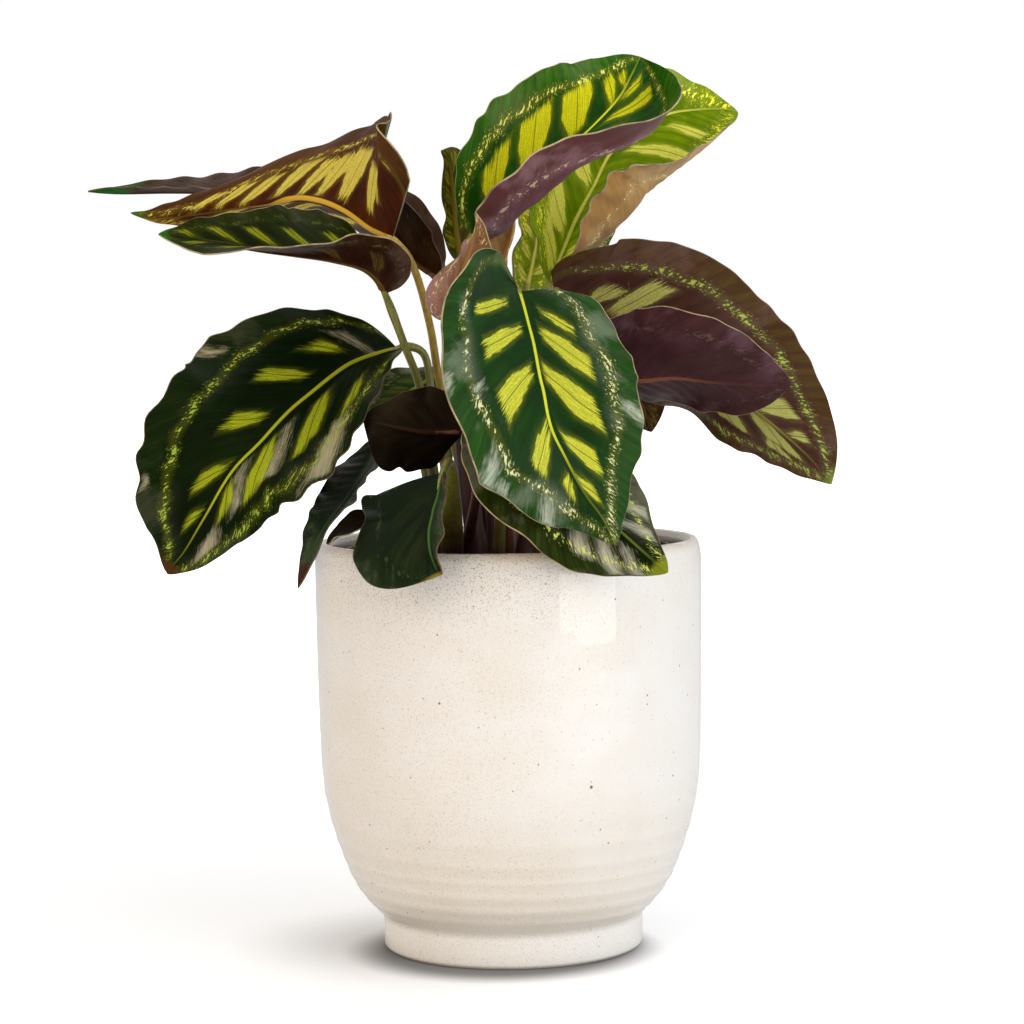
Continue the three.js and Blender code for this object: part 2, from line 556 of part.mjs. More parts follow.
// Potting mix that fills the nursery pot, low at its edge, with a plain hole round each stalk
function makePottingMix() {
  const floor = NURSERY_BASE + NURSERY_WALL + SEAT_GAP;
  const inside = NURSERY_FOOT_RADIUS - NURSERY_WALL - SEAT_GAP - 0.3;
  const edge = NURSERY_BODY_RADIUS - NURSERY_WALL - SEAT_GAP - 0.9;
  const edgeLevel = MIX_LEVEL - MIX_DIP;
  const profile = [
    [0, floor], [inside, floor], [edge, edgeLevel], [edge - 12, MIX_LEVEL - 0.6], [0, MIX_LEVEL],
  ];
  let mix = solidOf(lathe(profile, MIX_SIDES));
  for (const leaf of LEAVES) mix = mix.subtract(solidOf(holeGeometry(leaf, stalkCurve(leaf))));
  const soil = new THREE.MeshStandardMaterial({ color: 0x2e221b, roughness: 0.95, metalness: 0 });
  const mesh = new THREE.Mesh(geometryOf(mix), soil);
  mesh.name = 'potting_mix';
  return mesh;
}

const calathea = new THREE.Group();
const plant = new THREE.Group();
LEAVES.forEach((leaf) => plant.add(makeLeaf(leaf)));
calathea.add(makePlanter(), makeNurseryPot(), makePottingMix(), plant);

export default calathea;
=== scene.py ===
"""Looks of a potted flamestar calathea: its patterned leaves, their stalks, the potting mix, the
nursery pot and the glazed stoneware planter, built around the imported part."""

import logging
import math
from dataclasses import dataclass, field, replace
from enum import Enum, IntEnum
from functools import partial, reduce

import bmesh
import bpy
import numpy as np
from mathutils import Matrix, Vector


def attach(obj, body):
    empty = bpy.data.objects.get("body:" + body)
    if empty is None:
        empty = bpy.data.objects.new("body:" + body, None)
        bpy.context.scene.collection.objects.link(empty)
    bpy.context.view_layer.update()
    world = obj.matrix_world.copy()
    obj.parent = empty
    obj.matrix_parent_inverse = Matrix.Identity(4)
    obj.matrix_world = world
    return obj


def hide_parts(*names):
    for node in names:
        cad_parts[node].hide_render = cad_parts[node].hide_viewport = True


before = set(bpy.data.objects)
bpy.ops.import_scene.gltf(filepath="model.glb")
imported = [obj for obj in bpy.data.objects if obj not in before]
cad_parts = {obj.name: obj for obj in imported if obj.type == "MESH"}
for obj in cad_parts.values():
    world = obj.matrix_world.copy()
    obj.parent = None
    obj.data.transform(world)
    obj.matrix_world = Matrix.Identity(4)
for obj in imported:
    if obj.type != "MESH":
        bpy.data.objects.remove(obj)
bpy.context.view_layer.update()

LOG = logging.getLogger("calathea")

Node, Socket, Tree = bpy.types.Node, bpy.types.NodeSocket, bpy.types.NodeTree
Material, Mesh, Object = bpy.types.Material, bpy.types.Mesh, bpy.types.Object
Array = np.ndarray
Tint = tuple[int, int, int]
Point = tuple[float, float, float]
Triple = tuple[float, float, float]
Pair = tuple[float, float]

MM = 0.001
BODY = "root"
SEED = 11


def linear(tint: Tint) -> tuple[float, float, float, float]:
    """Turns a display colour into a scene colour.

    Args:
        tint: Red, green and blue from 0 to 255.

    Returns:
        The linear colour with full alpha.
    """
    parts = [c / 255 for c in tint]
    values = [c / 12.92 if c <= 0.04045 else ((c + 0.055) / 1.055) ** 2.4 for c in parts]
    return (values[0], values[1], values[2], 1.0)


def smooth(value: Array | float) -> Array | float:
    """Eases a value from 0 to 1 with no slope at either end."""
    clipped = np.clip(value, 0, 1)
    return clipped * clipped * (3 - 2 * clipped)


# Writers of node trees


class NodeWriter:
    """Adds nodes to one tree and links them."""

    def __init__(self, tree: Tree) -> None:
        """Takes the tree that is written."""
        self.tree = tree

    def add(self, kind: str, feeds: dict[str | int, object] | None = None, **settings: object) -> Node:
        """Adds a node.

        Args:
            kind: The node's type name.
            feeds: What feeds its inputs, by name or number.
            settings: Values of the node's own properties.

        Returns:
            The new node.
        """
        node = self.tree.nodes.new(kind)
        for key, value in settings.items():
            setattr(node, key, value)
        for key, source in (feeds or {}).items():
            self.feed(node.inputs[key], source)
        return node

    def feed(self, socket: Socket, source: object) -> None:
        """Feeds a socket.

        Args:
            socket: The input.
            source: An output, a node whose first output is meant, or the socket's own value.
        """
        if isinstance(source, Node):
            source = source.outputs[0]
        if isinstance(source, Socket):
            self.tree.links.new(source, socket)
        else:
            socket.default_value = source

    def dress(self, node: Node, **feeds: object) -> Node:
        """Feeds a node's inputs.

        Args:
            node: The node.
            feeds: What feeds each input, by its name with _ for a space.

        Returns:
            The node.
        """
        for key, source in feeds.items():
            self.feed(node.inputs[key.replace("_", " ")], source)
        return node

    def maths(self, operation: str, *values: object) -> Socket:
        """Works out one operation on up to three values."""
        return self.add("ShaderNodeMath", dict(enumerate(values)), operation=operation).outputs[0]

    def times(self, *values: object) -> Socket:
        """Multiplies the values, from left to right."""
        return reduce(partial(self.maths, "MULTIPLY"), values)

    def plus(self, *values: object) -> Socket:
        """Adds the values, from left to right."""
        return reduce(partial(self.maths, "ADD"), values)

    def swing(self, value: object, span: object) -> Socket:
        """Turns noise between 0 and 1 into a swing about 0 over a span."""
        return self.times(self.maths("SUBTRACT", value, 0.5), span)

    def ease(self, value: object, start: object, end: object, low: float = 0.0,
             high: float = 1.0) -> Socket:
        """Eases from low to high, while a value goes from start to end."""
        feeds = {"Value": value, "From Min": start, "From Max": end, "To Min": low, "To Max": high}
        return self.add("ShaderNodeMapRange", feeds, interpolation_type="SMOOTHSTEP").outputs[0]

    def blend(self, factor: object, first: object, second: object, mode: str = "MIX") -> Socket:
        """Mixes two colours.

        Args:
            factor: Share of the second colour.
            first: The colour at 0, an output or a value. Three whole numbers are a display colour.
            second: The colour at 1, in the same ways.
            mode: How the second colour is laid on.

        Returns:
            The mixed colour's output.
        """
        first, second = (linear(part) if isinstance(part, tuple) and len(part) == 3 else part
                         for part in (first, second))
        mix = self.add("ShaderNodeMix", data_type="RGBA", blend_type=mode)
        for number, source in ((0, factor), (6, first), (7, second)):
            self.feed(mix.inputs[number], source)
        return mix.outputs[2]

    def layered(self, colour: object, layers: tuple[tuple[object, object], ...]) -> Socket:
        """Lays colours over each other.

        Args:
            colour: The ground.
            layers: The masks with their colours, from the lowest up.

        Returns:
            The finished colour's output.
        """
        for mask, tint in layers:
            colour = self.blend(mask, colour, tint)
        return colour

    def noise(self, vector: object, scale: float, detail: float = 2.0, roughness: float = 0.5) -> Socket:
        """Adds fractal noise and returns its value output."""
        feeds = {"Vector": vector, "Scale": scale, "Detail": detail, "Roughness": roughness}
        return self.add("ShaderNodeTexNoise", feeds).outputs[0]

    def combine(self, *parts: object) -> Socket:
        """Joins up to three numbers in a vector."""
        return self.add("ShaderNodeCombineXYZ", dict(enumerate(parts))).outputs[0]

    def split(self, vector: object) -> tuple[Socket, ...]:
        """Takes a vector apart."""
        return tuple(self.add("ShaderNodeSeparateXYZ", {0: vector}).outputs)

    def vector(self, operation: str, *values: object) -> Node:
        """Works out one operation on vectors."""
        return self.add("ShaderNodeVectorMath", dict(enumerate(values)), operation=operation)

    def place(self) -> Socket:
        """Reads the place on the piece in metres, in a material."""
        return self.add("ShaderNodeTexCoord").outputs["Object"]

    def attribute(self, name: str) -> Socket:
        """Reads a number that the mesh carries, in a material."""
        return self.add("ShaderNodeAttribute", attribute_name=name).outputs["Fac"]

    def group(self, group: Tree, **feeds: object) -> Node:
        """Places a shader group and feeds its inputs, named with _ for a space."""
        return self.dress(self.add("ShaderNodeGroup", node_tree=group), **feeds)


class GroupWriter(NodeWriter):
    """Writes a new node group with named inputs and outputs."""

    KINDS = {int: "NodeSocketInt", float: "NodeSocketFloat", tuple: "NodeSocketColor"}

    def __init__(self, name: str, kind: str, inputs: dict[str, object], outputs: dict[str, str]) -> None:
        """Makes the group.

        Args:
            name: The group's name.
            kind: ShaderNodeTree or GeometryNodeTree.
            inputs: Input names with their default value, or the socket type where it has none.
            outputs: Output names with their socket type.
        """
        super().__init__(bpy.data.node_groups.new(name, kind))
        for label, value in inputs.items():
            self._add_input(label, value)
        for label, socket_type in outputs.items():
            self.tree.interface.new_socket(name=label, in_out="OUTPUT", socket_type=socket_type)
        self.source = self.add("NodeGroupInput")
        self.sink = self.add("NodeGroupOutput")

    def _add_input(self, label: str, value: object) -> None:
        """Adds one input.

        Args:
            label: Its name.
            value: Its default value, or the socket type where it has none.
        """
        kind = value if isinstance(value, str) else self.KINDS[type(value)]
        socket = self.tree.interface.new_socket(name=label, in_out="INPUT", socket_type=kind)
        if kind != value:
            socket.default_value = value

    def given(self, label: str) -> Socket:
        """Returns the output that carries one of the group's inputs."""
        return self.source.outputs[label]

    def give(self, label: str, value: object) -> None:
        """Feeds one of the group's outputs."""
        self.feed(self.sink.inputs[label], value)


class GrowthWriter(GroupWriter):
    """Writes a Geometry Nodes tree that takes a mesh and one material."""

    def __init__(self, name: str, inputs: dict[str, object]) -> None:
        """Makes the tree.

        Args:
            name: The tree's name.
            inputs: Its own inputs, besides Geometry and Material.
        """
        mesh = {"Geometry": "NodeSocketGeometry"}
        every = mesh | {"Material": "NodeSocketMaterial"} | inputs
        super().__init__(name, "GeometryNodeTree", every, mesh)

    def stored(self, name: str) -> Socket:
        """Reads a number that the mesh carries."""
        return self.add("GeometryNodeInputNamedAttribute", {"Name": name}, data_type="FLOAT").outputs[0]

    def painted(self, geometry: Node, **choice: object) -> Node:
        """Gives geometry the material, or only the part of it that a Selection chooses."""
        feeds = {"Geometry": geometry, "Material": self.given("Material"), **choice}
        return self.add("GeometryNodeSetMaterial", feeds)

    def finished(self, geometry: Node, **choice: object) -> Tree:
        """Ends the tree in plain geometry with its material.

        Args:
            geometry: The node that builds the instances.
            choice: How the material is chosen.

        Returns:
            The tree.
        """
        real = self.add("GeometryNodeRealizeInstances", {0: geometry})
        self.give("Geometry", self.painted(real, **choice))
        return self.tree


# Shader groups


class LeafFaceWriter(GroupWriter):
    """Writes the markings and the relief of one face of a leaf."""

    TINTS = ("Ground", "Deep", "Fringe", "Flame", "Ring", "Rib", "Pale", "Tip")
    NUMBERS = ("Flame Share", "Ring Share", "Fringe Share", "Rib Share", "Pale Share", "Tip Start",
               "Raggedness", "Softness", "Rib Until", "Ring Width")
    OUTPUTS = {"Color": "NodeSocketColor", "Marks": "NodeSocketFloat", "Relief": "NodeSocketFloat"}

    def __init__(self, streaks: Tree, mottle: Tree) -> None:
        """Writes the group.

        Args:
            streaks: The group of streaks along the lateral veins.
            mottle: The group of soft clouds.
        """
        inputs = dict.fromkeys(self.TINTS, (0.0, 0.0, 0.0, 1.0)) | dict.fromkeys(self.NUMBERS, 1.0)
        super().__init__("leaf_face", "ShaderNodeTree", inputs, self.OUTPUTS)
        self.streaks = streaks
        self.mottle = mottle
        self.strands = self._streak(9.0, 0.5, 0.0)
        self.strokes = self._streak(5.0, 1.2, 7.0)
        self.root = self.attribute("vein_root")
        self.ring_gap = self.attribute("ring_gap")
        self.along = self.attribute("blade_share")
        self._lay_markings()

    def _streak(self, length: float, width: float, shift: float) -> Socket:
        """Places streaks of a length and a width in millimetres."""
        return self.group(self.streaks, Length=length, Width=width, Shift=shift).outputs[0]

    def _flames(self) -> tuple[Socket, Socket]:
        """Masks the flames, with ragged ends and a dark vein down the middle.

        Returns:
            The flames and a faint glow round them.
        """
        soft, share = self.given("Softness"), self.given("Flame Share")
        end, side = self.attribute("flame_end"), self.attribute("flame_side")
        tuft = self.swing(self.strands, self.given("Raggedness"))
        wander = self.swing(self.strokes, 2.6)
        ends = self.ease(self.maths("DIVIDE", self.plus(end, tuft), soft), -1.2, 1.8)
        sides = self.ease(self.maths("DIVIDE", self.plus(side, wander), soft), -0.25, 0.5)
        vein = self.ease(self.maths("ABSOLUTE", self.attribute("flame_axis")), 0.1, 0.35, 0.25)
        hairline = self.ease(self.maths("PINGPONG", self.root, 0.85), 0.04, 0.2, 0.72)
        brushed = self.ease(self.strands, 0.34, 0.6, 0.62)
        nearby = self.plus(self.maths("MINIMUM", end, side), wander)
        glow = self.times(self.ease(nearby, -2.5, 0.8, 0.0, 0.12), share)
        return self.times(ends, sides, vein, hairline, brushed, share), glow

    def _ring(self) -> tuple[Socket, Socket]:
        """Masks the broken pale ring that runs along inside the margin.

        Returns:
            The ring and a faint bleed beside it.
        """
        seed, share = self.attribute("leaf_seed"), self.given("Ring Share")
        sway = self.noise(self.combine(self.maths("DIVIDE", self.root, 6.0), seed, 0.0), 1.0)
        offset = self.maths("ABSOLUTE", self.plus(self.ring_gap, self.swing(sway, 5.0)))
        gap = self.maths("DIVIDE", offset, self.given("Ring Width"))
        crowd = self.noise(self.combine(self.maths("DIVIDE", self.root, 9.0), seed, 5.0), 1.0)
        density = self.swing(crowd, 0.45)
        blots = self.ease(self.plus(self._streak(2.8, 1.7, 13.0), density), 0.54, 0.59)
        dots = self.ease(self.plus(self._streak(1.3, 1.0, 17.0), density), 0.62, 0.66)
        core = self.times(self.ease(gap, 0.5, 1.7, 1.0, 0.0), blots)
        halo = self.times(self.ease(gap, 1.0, 4.5, 1.0, 0.0), dots)
        ring = self.times(self.maths("MAXIMUM", core, halo), self.attribute("ring_share"), share)
        return ring, self.times(self.ease(gap, 0.5, 4.0, 0.07, 0.0), share)

    def _rib(self) -> Socket:
        """Masks the midrib.

        Returns:
            The mask, which fades towards the tip.
        """
        until = self.given("Rib Until")
        near = self.ease(self.attribute("rib_gap"), 0.5, 0.95, 1.0, 0.0)
        fade = self.ease(self.along, until, self.plus(until, 0.3), 1.0, 0.15)
        return self.times(near, fade, self.given("Rib Share"))

    def _sheen(self) -> Socket:
        """Masks the painted sheen: pale haze and patches painted where the blade catches the light.

        Returns:
            The mask, of a painted haze inside the ring and of the measured painted patches.
        """
        cloud = self.plus(self.group(self.mottle, Size=30.0), self.times(self.strokes, 0.6))
        haze = self.times(self.ease(cloud, 0.75, 1.3), self.ease(self.ring_gap, -9.0, 3.0),
                          self.given("Pale Share"))
        depth = self.plus(self.attribute("sheen_depth"), self.swing(self.strokes, 8.0))
        sheen = self.times(self.ease(depth, -2.6, 3.6, 0.0, 0.85),
                           self.ease(self.strands, 0.3, 0.6, 0.6))
        return self.maths("MAXIMUM", haze, sheen)

    def _lay_markings(self) -> None:
        """Lays the markings over the ground and feeds the outputs."""
        cloud = self.group(self.mottle, Size=17.0)
        shade = self.times(self.plus(cloud, self.maths("SUBTRACT", self.strokes, 0.5)), 0.8)
        fringe = self.times(self.ease(self.ring_gap, 0.5, 6.0), self.given("Fringe Share"))
        lateral = self.ease(self.maths("PINGPONG", self.root, 3.25), 0.0, 3.2, 0.45, 0.0)
        fine = self._streak(14.0, 0.4, 21.0)
        veinlets = self._streak(34.0, 1.5, 41.0)
        cells = self._streak(1.0, 0.4, 31.0)
        petal = self.blend(self.ease(cells, 0.42, 0.62, 0.0, 0.35), self.given("Flame"),
                           self.given("Fringe"))
        flame, glow = self._flames()
        ring, bleed = self._ring()
        start = self.given("Tip Start")
        reach = self.plus(self.along, self.times(cloud, 0.03))
        deep = self.given("Deep")
        self.give("Color", self.layered(self.given("Ground"), (
            (shade, deep),
            (fringe, self.given("Fringe")),
            (lateral, deep),
            (self.ease(fine, 0.4, 0.65, 0.0, 0.3), deep),
            (self.ease(veinlets, 0.46, 0.6, 0.0, 0.4), deep),
            (self.maths("MAXIMUM", glow, bleed), self.given("Flame")),
            # Pale: the painted sheen patches and haze, lighter where the blade catches the light.
            (self._sheen(), self.given("Pale")),
            (ring, self.given("Ring")),
            (flame, petal),
            (self._rib(), self.given("Rib")),
            (self.ease(reach, start, self.plus(start, 0.035)), self.given("Tip")),
        )))
        self.give("Marks", self.maths("MAXIMUM", flame, ring))
        grain = self.noise(self.place(), 1400.0, 1.0)
        self.give("Relief", self.plus(self.times(fine, 0.7), self.times(grain, 0.3)))


class ShaderGroups:
    """The shared effects, each built once."""

    def __init__(self) -> None:
        """Builds the groups in the order in which they use each other."""
        self.streaks = self._streaks()
        self.specks = self._specks()
        self.mottle = self._mottle()
        self.leaf_face = LeafFaceWriter(self.streaks, self.mottle).tree

    @staticmethod
    def _streaks() -> Tree:
        """Builds brush-like noise drawn out along the lateral veins.

        Returns:
            The group.
        """
        w = GroupWriter("vein_streaks", "ShaderNodeTree",
                        {"Length": 9.0, "Width": 0.6, "Shift": 0.0}, {"Value": "NodeSocketFloat"})
        along = w.maths("DIVIDE", w.attribute("vein_reach"), w.given("Length"))
        across = w.maths("DIVIDE", w.attribute("vein_root"), w.given("Width"))
        depth = w.plus(w.attribute("leaf_seed"), w.given("Shift"))
        w.give("Value", w.noise(w.combine(along, across, depth), 1.0, 2.0, 0.6))
        return w.tree

    @staticmethod
    def _specks() -> Tree:
        """Builds small round specks of uneven size, spaced at random.

        Returns:
            The group.
        """
        w = GroupWriter("fired_specks", "ShaderNodeTree",
                        {"Spacing": 6.0, "Size": 0.4, "Share": 0.5}, {"Mask": "NodeSocketFloat"})
        scale = w.maths("DIVIDE", 1 / MM, w.given("Spacing"))
        cells = w.add("ShaderNodeTexVoronoi", {"Vector": w.place(), "Scale": scale})
        chance, bulk, _ = w.add("ShaderNodeSeparateColor", {0: cells.outputs["Color"]}).outputs
        kept = w.maths("LESS_THAN", chance, w.given("Share"))
        reach = w.maths("DIVIDE", w.given("Size"), w.given("Spacing"))
        radius = w.times(w.plus(w.times(w.maths("POWER", bulk, 3.0), 0.7), 0.3), reach)
        inside = w.maths("DIVIDE", cells.outputs["Distance"], radius)
        w.give("Mask", w.times(w.ease(inside, 0.6, 1.0, 1.0, 0.0), kept))
        return w.tree

    @staticmethod
    def _mottle() -> Tree:
        """Builds soft clouds of a size in millimetres.

        Returns:
            The group.
        """
        w = GroupWriter("soft_mottle", "ShaderNodeTree", {"Size": 20.0, "Flatness": 1.0},
                        {"Value": "NodeSocketFloat"})
        scale = w.maths("DIVIDE", 1 / MM, w.given("Size"))
        x, y, z = (w.times(part, scale) for part in w.split(w.place()))
        cells = w.combine(x, y, w.times(z, w.given("Flatness")))
        w.give("Value", w.ease(w.noise(cells, 1.0, 3.0, 0.55), 0.3, 0.7))
        return w.tree


class SurfaceWriter(NodeWriter):
    """Writes a material round its surface shader."""

    def __init__(self, name: str, groups: ShaderGroups | None = None) -> None:
        """Starts the material.

        Args:
            name: Its name.
            groups: The shared shader groups, where it needs them.
        """
        self.material = bpy.data.materials.new(name)
        self.material.use_nodes = True
        self.groups = groups
        super().__init__(self.material.node_tree)

    def surface(self, **feeds: object) -> None:
        """Feeds the surface shader's inputs, named with _ for a space."""
        self.dress(self.tree.nodes["Principled BSDF"], **feeds)

    def bump(self, height: object, depth_mm: float) -> None:
        """Gives the surface a relief of a depth in millimetres."""
        self.surface(Normal=self.add("ShaderNodeBump", {"Height": height, "Distance": depth_mm * MM}))

    def cloud(self, size: float, flatness: float = 1.0) -> Socket:
        """Adds soft clouds of a size in millimetres."""
        return self.group(self.groups.mottle, Size=size, Flatness=flatness).outputs[0]

    def specks(self, spacing: float, size: float, share: float) -> Socket:
        """Adds round specks, with their spacing and size in millimetres."""
        return self.group(self.groups.specks, Spacing=spacing, Size=size, Share=share).outputs[0]


# Finishes


@dataclass(frozen=True)
class Finish:
    """Finish of a surface, made as one material."""

    name: str

    def build(self, groups: ShaderGroups) -> Material:
        """Builds the material.

        Args:
            groups: The shared shader groups.

        Returns:
            The material.
        """
        writer = SurfaceWriter(self.name, groups)
        self.dress(writer)
        return writer.material

    def dress(self, w: SurfaceWriter) -> None:
        """Writes the nodes of the finish."""
        raise NotImplementedError


@dataclass(frozen=True)
class FaceFinish(Finish):
    """Markings and gloss of one face of a leaf."""

    ground: Tint
    deep: Tint
    fringe: Tint
    flame: Tint
    ring: Tint
    rib: Tint
    # pale: colour of the painted sheen patches and haze, standing in for light caught on the blade;
    # pale_share sets how strong the painted haze is.
    pale: Tint
    flame_share: float = 1.0
    ring_share: float = 1.0
    fringe_share: float = 0.7
    rib_share: float = 1.0
    pale_share: float = 0.15
    tip: Tint = (90, 70, 30)
    tip_start: float = 2.0
    raggedness: float = 15.0
    softness: float = 1.0
    rib_until: float = 0.7
    ring_width: float = 1.0
    roughness: float = 0.4
    gloss: float = 0.12
    # Strength of a painted glow: emission in the face's own colour stands in for light coming through the
    # blade.
    painted_glow: float = 0.0
    relief_mm: float = 0.07

    GLOSS_TINT = (240, 250, 200)
    MARK_ROUGHNESS = 0.08

    def dress(self, w: SurfaceWriter) -> None:
        """Writes the face, with each input of its group fed by the field of that name.

        Args:
            w: The material's writer.
        """
        face = w.group(w.groups.leaf_face)
        for socket in face.inputs:
            value = getattr(self, socket.name.lower().replace(" ", "_"))
            socket.default_value = linear(value) if isinstance(value, tuple) else value
        rough = w.ease(face.outputs["Marks"], 0.0, 1.0, self.roughness,
                       self.roughness + self.MARK_ROUGHNESS)
        w.surface(Base_Color=face.outputs["Color"], Roughness=rough, Specular_IOR_Level=self.gloss,
                  Specular_Tint=linear(self.GLOSS_TINT))
        # Painted glow: the face shines in its own colour.
        if self.painted_glow:
            w.surface(Emission_Color=face.outputs["Color"], Emission_Strength=self.painted_glow)
        w.bump(face.outputs["Relief"], self.relief_mm)


@dataclass(frozen=True)
class MarginFinish(Finish):
    """Thin dry rim round a blade."""

    tint: Tint
    roughness: float = 0.6

    SHADE = 0.62

    def dress(self, w: SurfaceWriter) -> None:
        """Writes the rim, uneven in tone along the blade.

        Args:
            w: The material's writer.
        """
        dark = tuple(int(c * self.SHADE) for c in self.tint)
        w.surface(Base_Color=w.blend(w.cloud(9.0), self.tint, dark), Roughness=self.roughness)


@dataclass(frozen=True)
class StalkFinish(Finish):
    """Stalk that goes from its sheath at the root to its joint under the blade."""

    sheath: Tint
    stem: Tint
    joint: Tint
    sheath_share: float = 0.35
    roughness: float = 0.42

    LINES = (900.0, 900.0, 60.0)
    LINE_SHADE = (0.45, 0.42, 0.4, 1.0)
    SHEATH_FADE = 0.14

    def dress(self, w: SurfaceWriter) -> None:
        """Writes the stalk's three parts, with fine lines along it.

        Args:
            w: The material's writer.
        """
        share = w.attribute("stalk_share")
        lines = w.noise(w.add("ShaderNodeMapping", {"Vector": w.place(), "Scale": self.LINES}), 1.0)
        level = w.plus(share, w.swing(w.cloud(12.0), 0.16))
        above = w.ease(level, self.sheath_share - self.SHEATH_FADE, self.sheath_share + self.SHEATH_FADE)
        colour = w.layered(self.sheath, ((above, self.stem), (w.ease(share, 0.86, 0.95), self.joint)))
        dark = w.blend(1.0, colour, self.LINE_SHADE, "MULTIPLY")
        w.surface(Base_Color=w.blend(w.ease(lines, 0.4, 0.7, 0.0, 0.6), colour, dark),
                  Roughness=self.roughness)
        w.bump(lines, 0.12)


@dataclass(frozen=True)
class GlazeFinish(Finish):
    """Cream glaze over speckled stoneware."""

    name: str = "cream_glaze"
    tint: Tint = (235, 232, 228)
    warm: Tint = (229, 222, 211)
    thin: Tint = (218, 203, 180)
    # Lighter tint of the foot: painted light where the foot is lit from the front.
    foot: Tint = (248, 246, 242)
    # Brown-grey of the inner wall: painted shade inside the pot.
    painted_inner_shade: Tint = (150, 130, 104)
    speck: Tint = (78, 58, 42)
    # Tint of the faint specks and of the grains.
    dust: Tint = (156, 136, 112)
    roughness: float = 0.45

    LOWER_WALL = (0.02, 0.12)
    FOOT_TOP = (0.012, 0.018)
    BASE_EDGE = (0.0006, 0.0016)
    UPPER_WALL = (0.14, 0.176)

    def _grains(self, w: SurfaceWriter, cloud: object) -> Socket:
        """Masks the finest grains, which lie thicker at the left and below the rim.

        Args:
            w: The material's writer.
            cloud: Soft clouds.

        Returns:
            The mask.
        """
        across, _, height = w.split(w.place())
        left = w.ease(w.plus(across, w.times(cloud, -0.04)), -0.05, 0.05, 0.42, 0.1)
        upper = w.times(w.ease(height, *self.UPPER_WALL, 0.0, 0.7), w.ease(across, 0.01, 0.04, 1.0, 0.2))
        grains = w.ease(w.noise(w.place(), 1500.0, 3.0, 0.7), 0.54, 0.66)
        return w.times(grains, w.plus(left, upper))

    def dress(self, w: SurfaceWriter) -> None:
        """Writes the glaze, warmer and thinner on the throwing ridges and at the rim.

        Args:
            w: The material's writer.
        """
        place = w.place()
        height = w.split(place)[2]
        cloud = w.cloud(46.0, 1.6)
        fine = w.specks(3.6, 0.62, 0.42)
        bold = w.specks(15.0, 1.1, 0.3)
        normal = w.add("ShaderNodeNewGeometry").outputs["Normal"]
        outward = w.vector("DOT_PRODUCT", place, normal).outputs["Value"]
        colour = w.layered(self.tint, (
            (w.times(cloud, 0.7), self.warm),
            (w.times(w.attribute("glaze_thin"), 0.75), self.thin),
            # Warmer and darker towards the bottom of the wall.
            (w.ease(height, *self.LOWER_WALL, 0.3, 0.0), self.thin),
            # The foot is painted lighter: painted light.
            (w.ease(height, *self.FOOT_TOP, 0.7, 0.0), self.foot),
            (w.ease(height, *self.BASE_EDGE, 0.7, 0.0), self.thin),
            # The grains lie thicker at the left and in a band below the rim, so the glaze is darker there.
            (self._grains(w, cloud), self.dust),
            (w.times(w.specks(1.7, 0.42, 0.6), 0.5), self.dust),
            (w.times(fine, 0.75), self.speck),
            (w.times(bold, 0.9), self.speck),
            # The inner wall takes the darker brown-grey: painted shade inside the pot.
            (w.ease(outward, -0.04, -0.01, 1.0, 0.0), self.painted_inner_shade),
        ))
        w.surface(Base_Color=colour, Roughness=self.roughness, Coat_Weight=0.9, Coat_Roughness=0.03)
        w.bump(w.maths("SUBTRACT", w.noise(place, 260.0), w.maths("MAXIMUM", fine, bold)), 0.06)


@dataclass(frozen=True)
class PlasticFinish(Finish):
    """Black moulded plastic of the nursery pot."""

    name: str = "black_moulded_plastic"
    tint: Tint = (26, 25, 27)
    dusty: Tint = (66, 60, 54)
    roughness: float = 0.42
    dusty_roughness: float = 0.7

    def dress(self, w: SurfaceWriter) -> None:
        """Writes the plastic, with dust lying on it unevenly.

        Args:
            w: The material's writer.
        """
        dust = w.cloud(14.0)
        w.surface(Base_Color=w.blend(w.times(dust, 0.35), self.tint, self.dusty),
                  Roughness=w.ease(dust, 0.0, 1.0, self.roughness, self.dusty_roughness))
        w.bump(w.noise(w.place(), 900.0), 0.04)


@dataclass(frozen=True)
class MixFinish(Finish):
    """Damp brown potting mix with some bark and pumice."""

    dark: Tint = (38, 27, 20)
    brown: Tint = (84, 60, 42)
    bark: Tint = (128, 92, 60)
    pumice: Tint = (206, 196, 178)
    roughness: float = 0.92

    def dress(self, w: SurfaceWriter) -> None:
        """Writes the mix, whose crumbs carry a tone each.

        Args:
            w: The material's writer.
        """
        tone = w.attribute("crumb_tone")
        colour = w.layered(self.dark, (
            (w.maths("MAXIMUM", w.times(w.cloud(4.0), 0.5), w.ease(tone, 0.1, 0.7)), self.brown),
            (w.ease(tone, 0.82, 0.86), self.bark),
            (w.ease(tone, 0.965, 0.97), self.pumice),
        ))
        w.surface(Base_Color=colour, Roughness=self.roughness)
        w.bump(w.noise(w.place(), 1500.0, 3.0), 0.4)


# Leaf faces, stalks and looks

Patch = tuple[float, float, float, float]
PLAIN_RING = (0.72, 0.72, 0.72, 0.72, 0.56, 0.4)


class Look(Enum):
    """Material slots of the leaves."""

    GREEN = "leaf_green"
    DARK = "leaf_dark"
    BRIGHT = "leaf_bright"
    STRIPED = "leaf_striped"
    MAROON = "leaf_maroon"
    MAUVE = "leaf_mauve"
    TAN = "leaf_tan"
    BROWN = "leaf_brown"


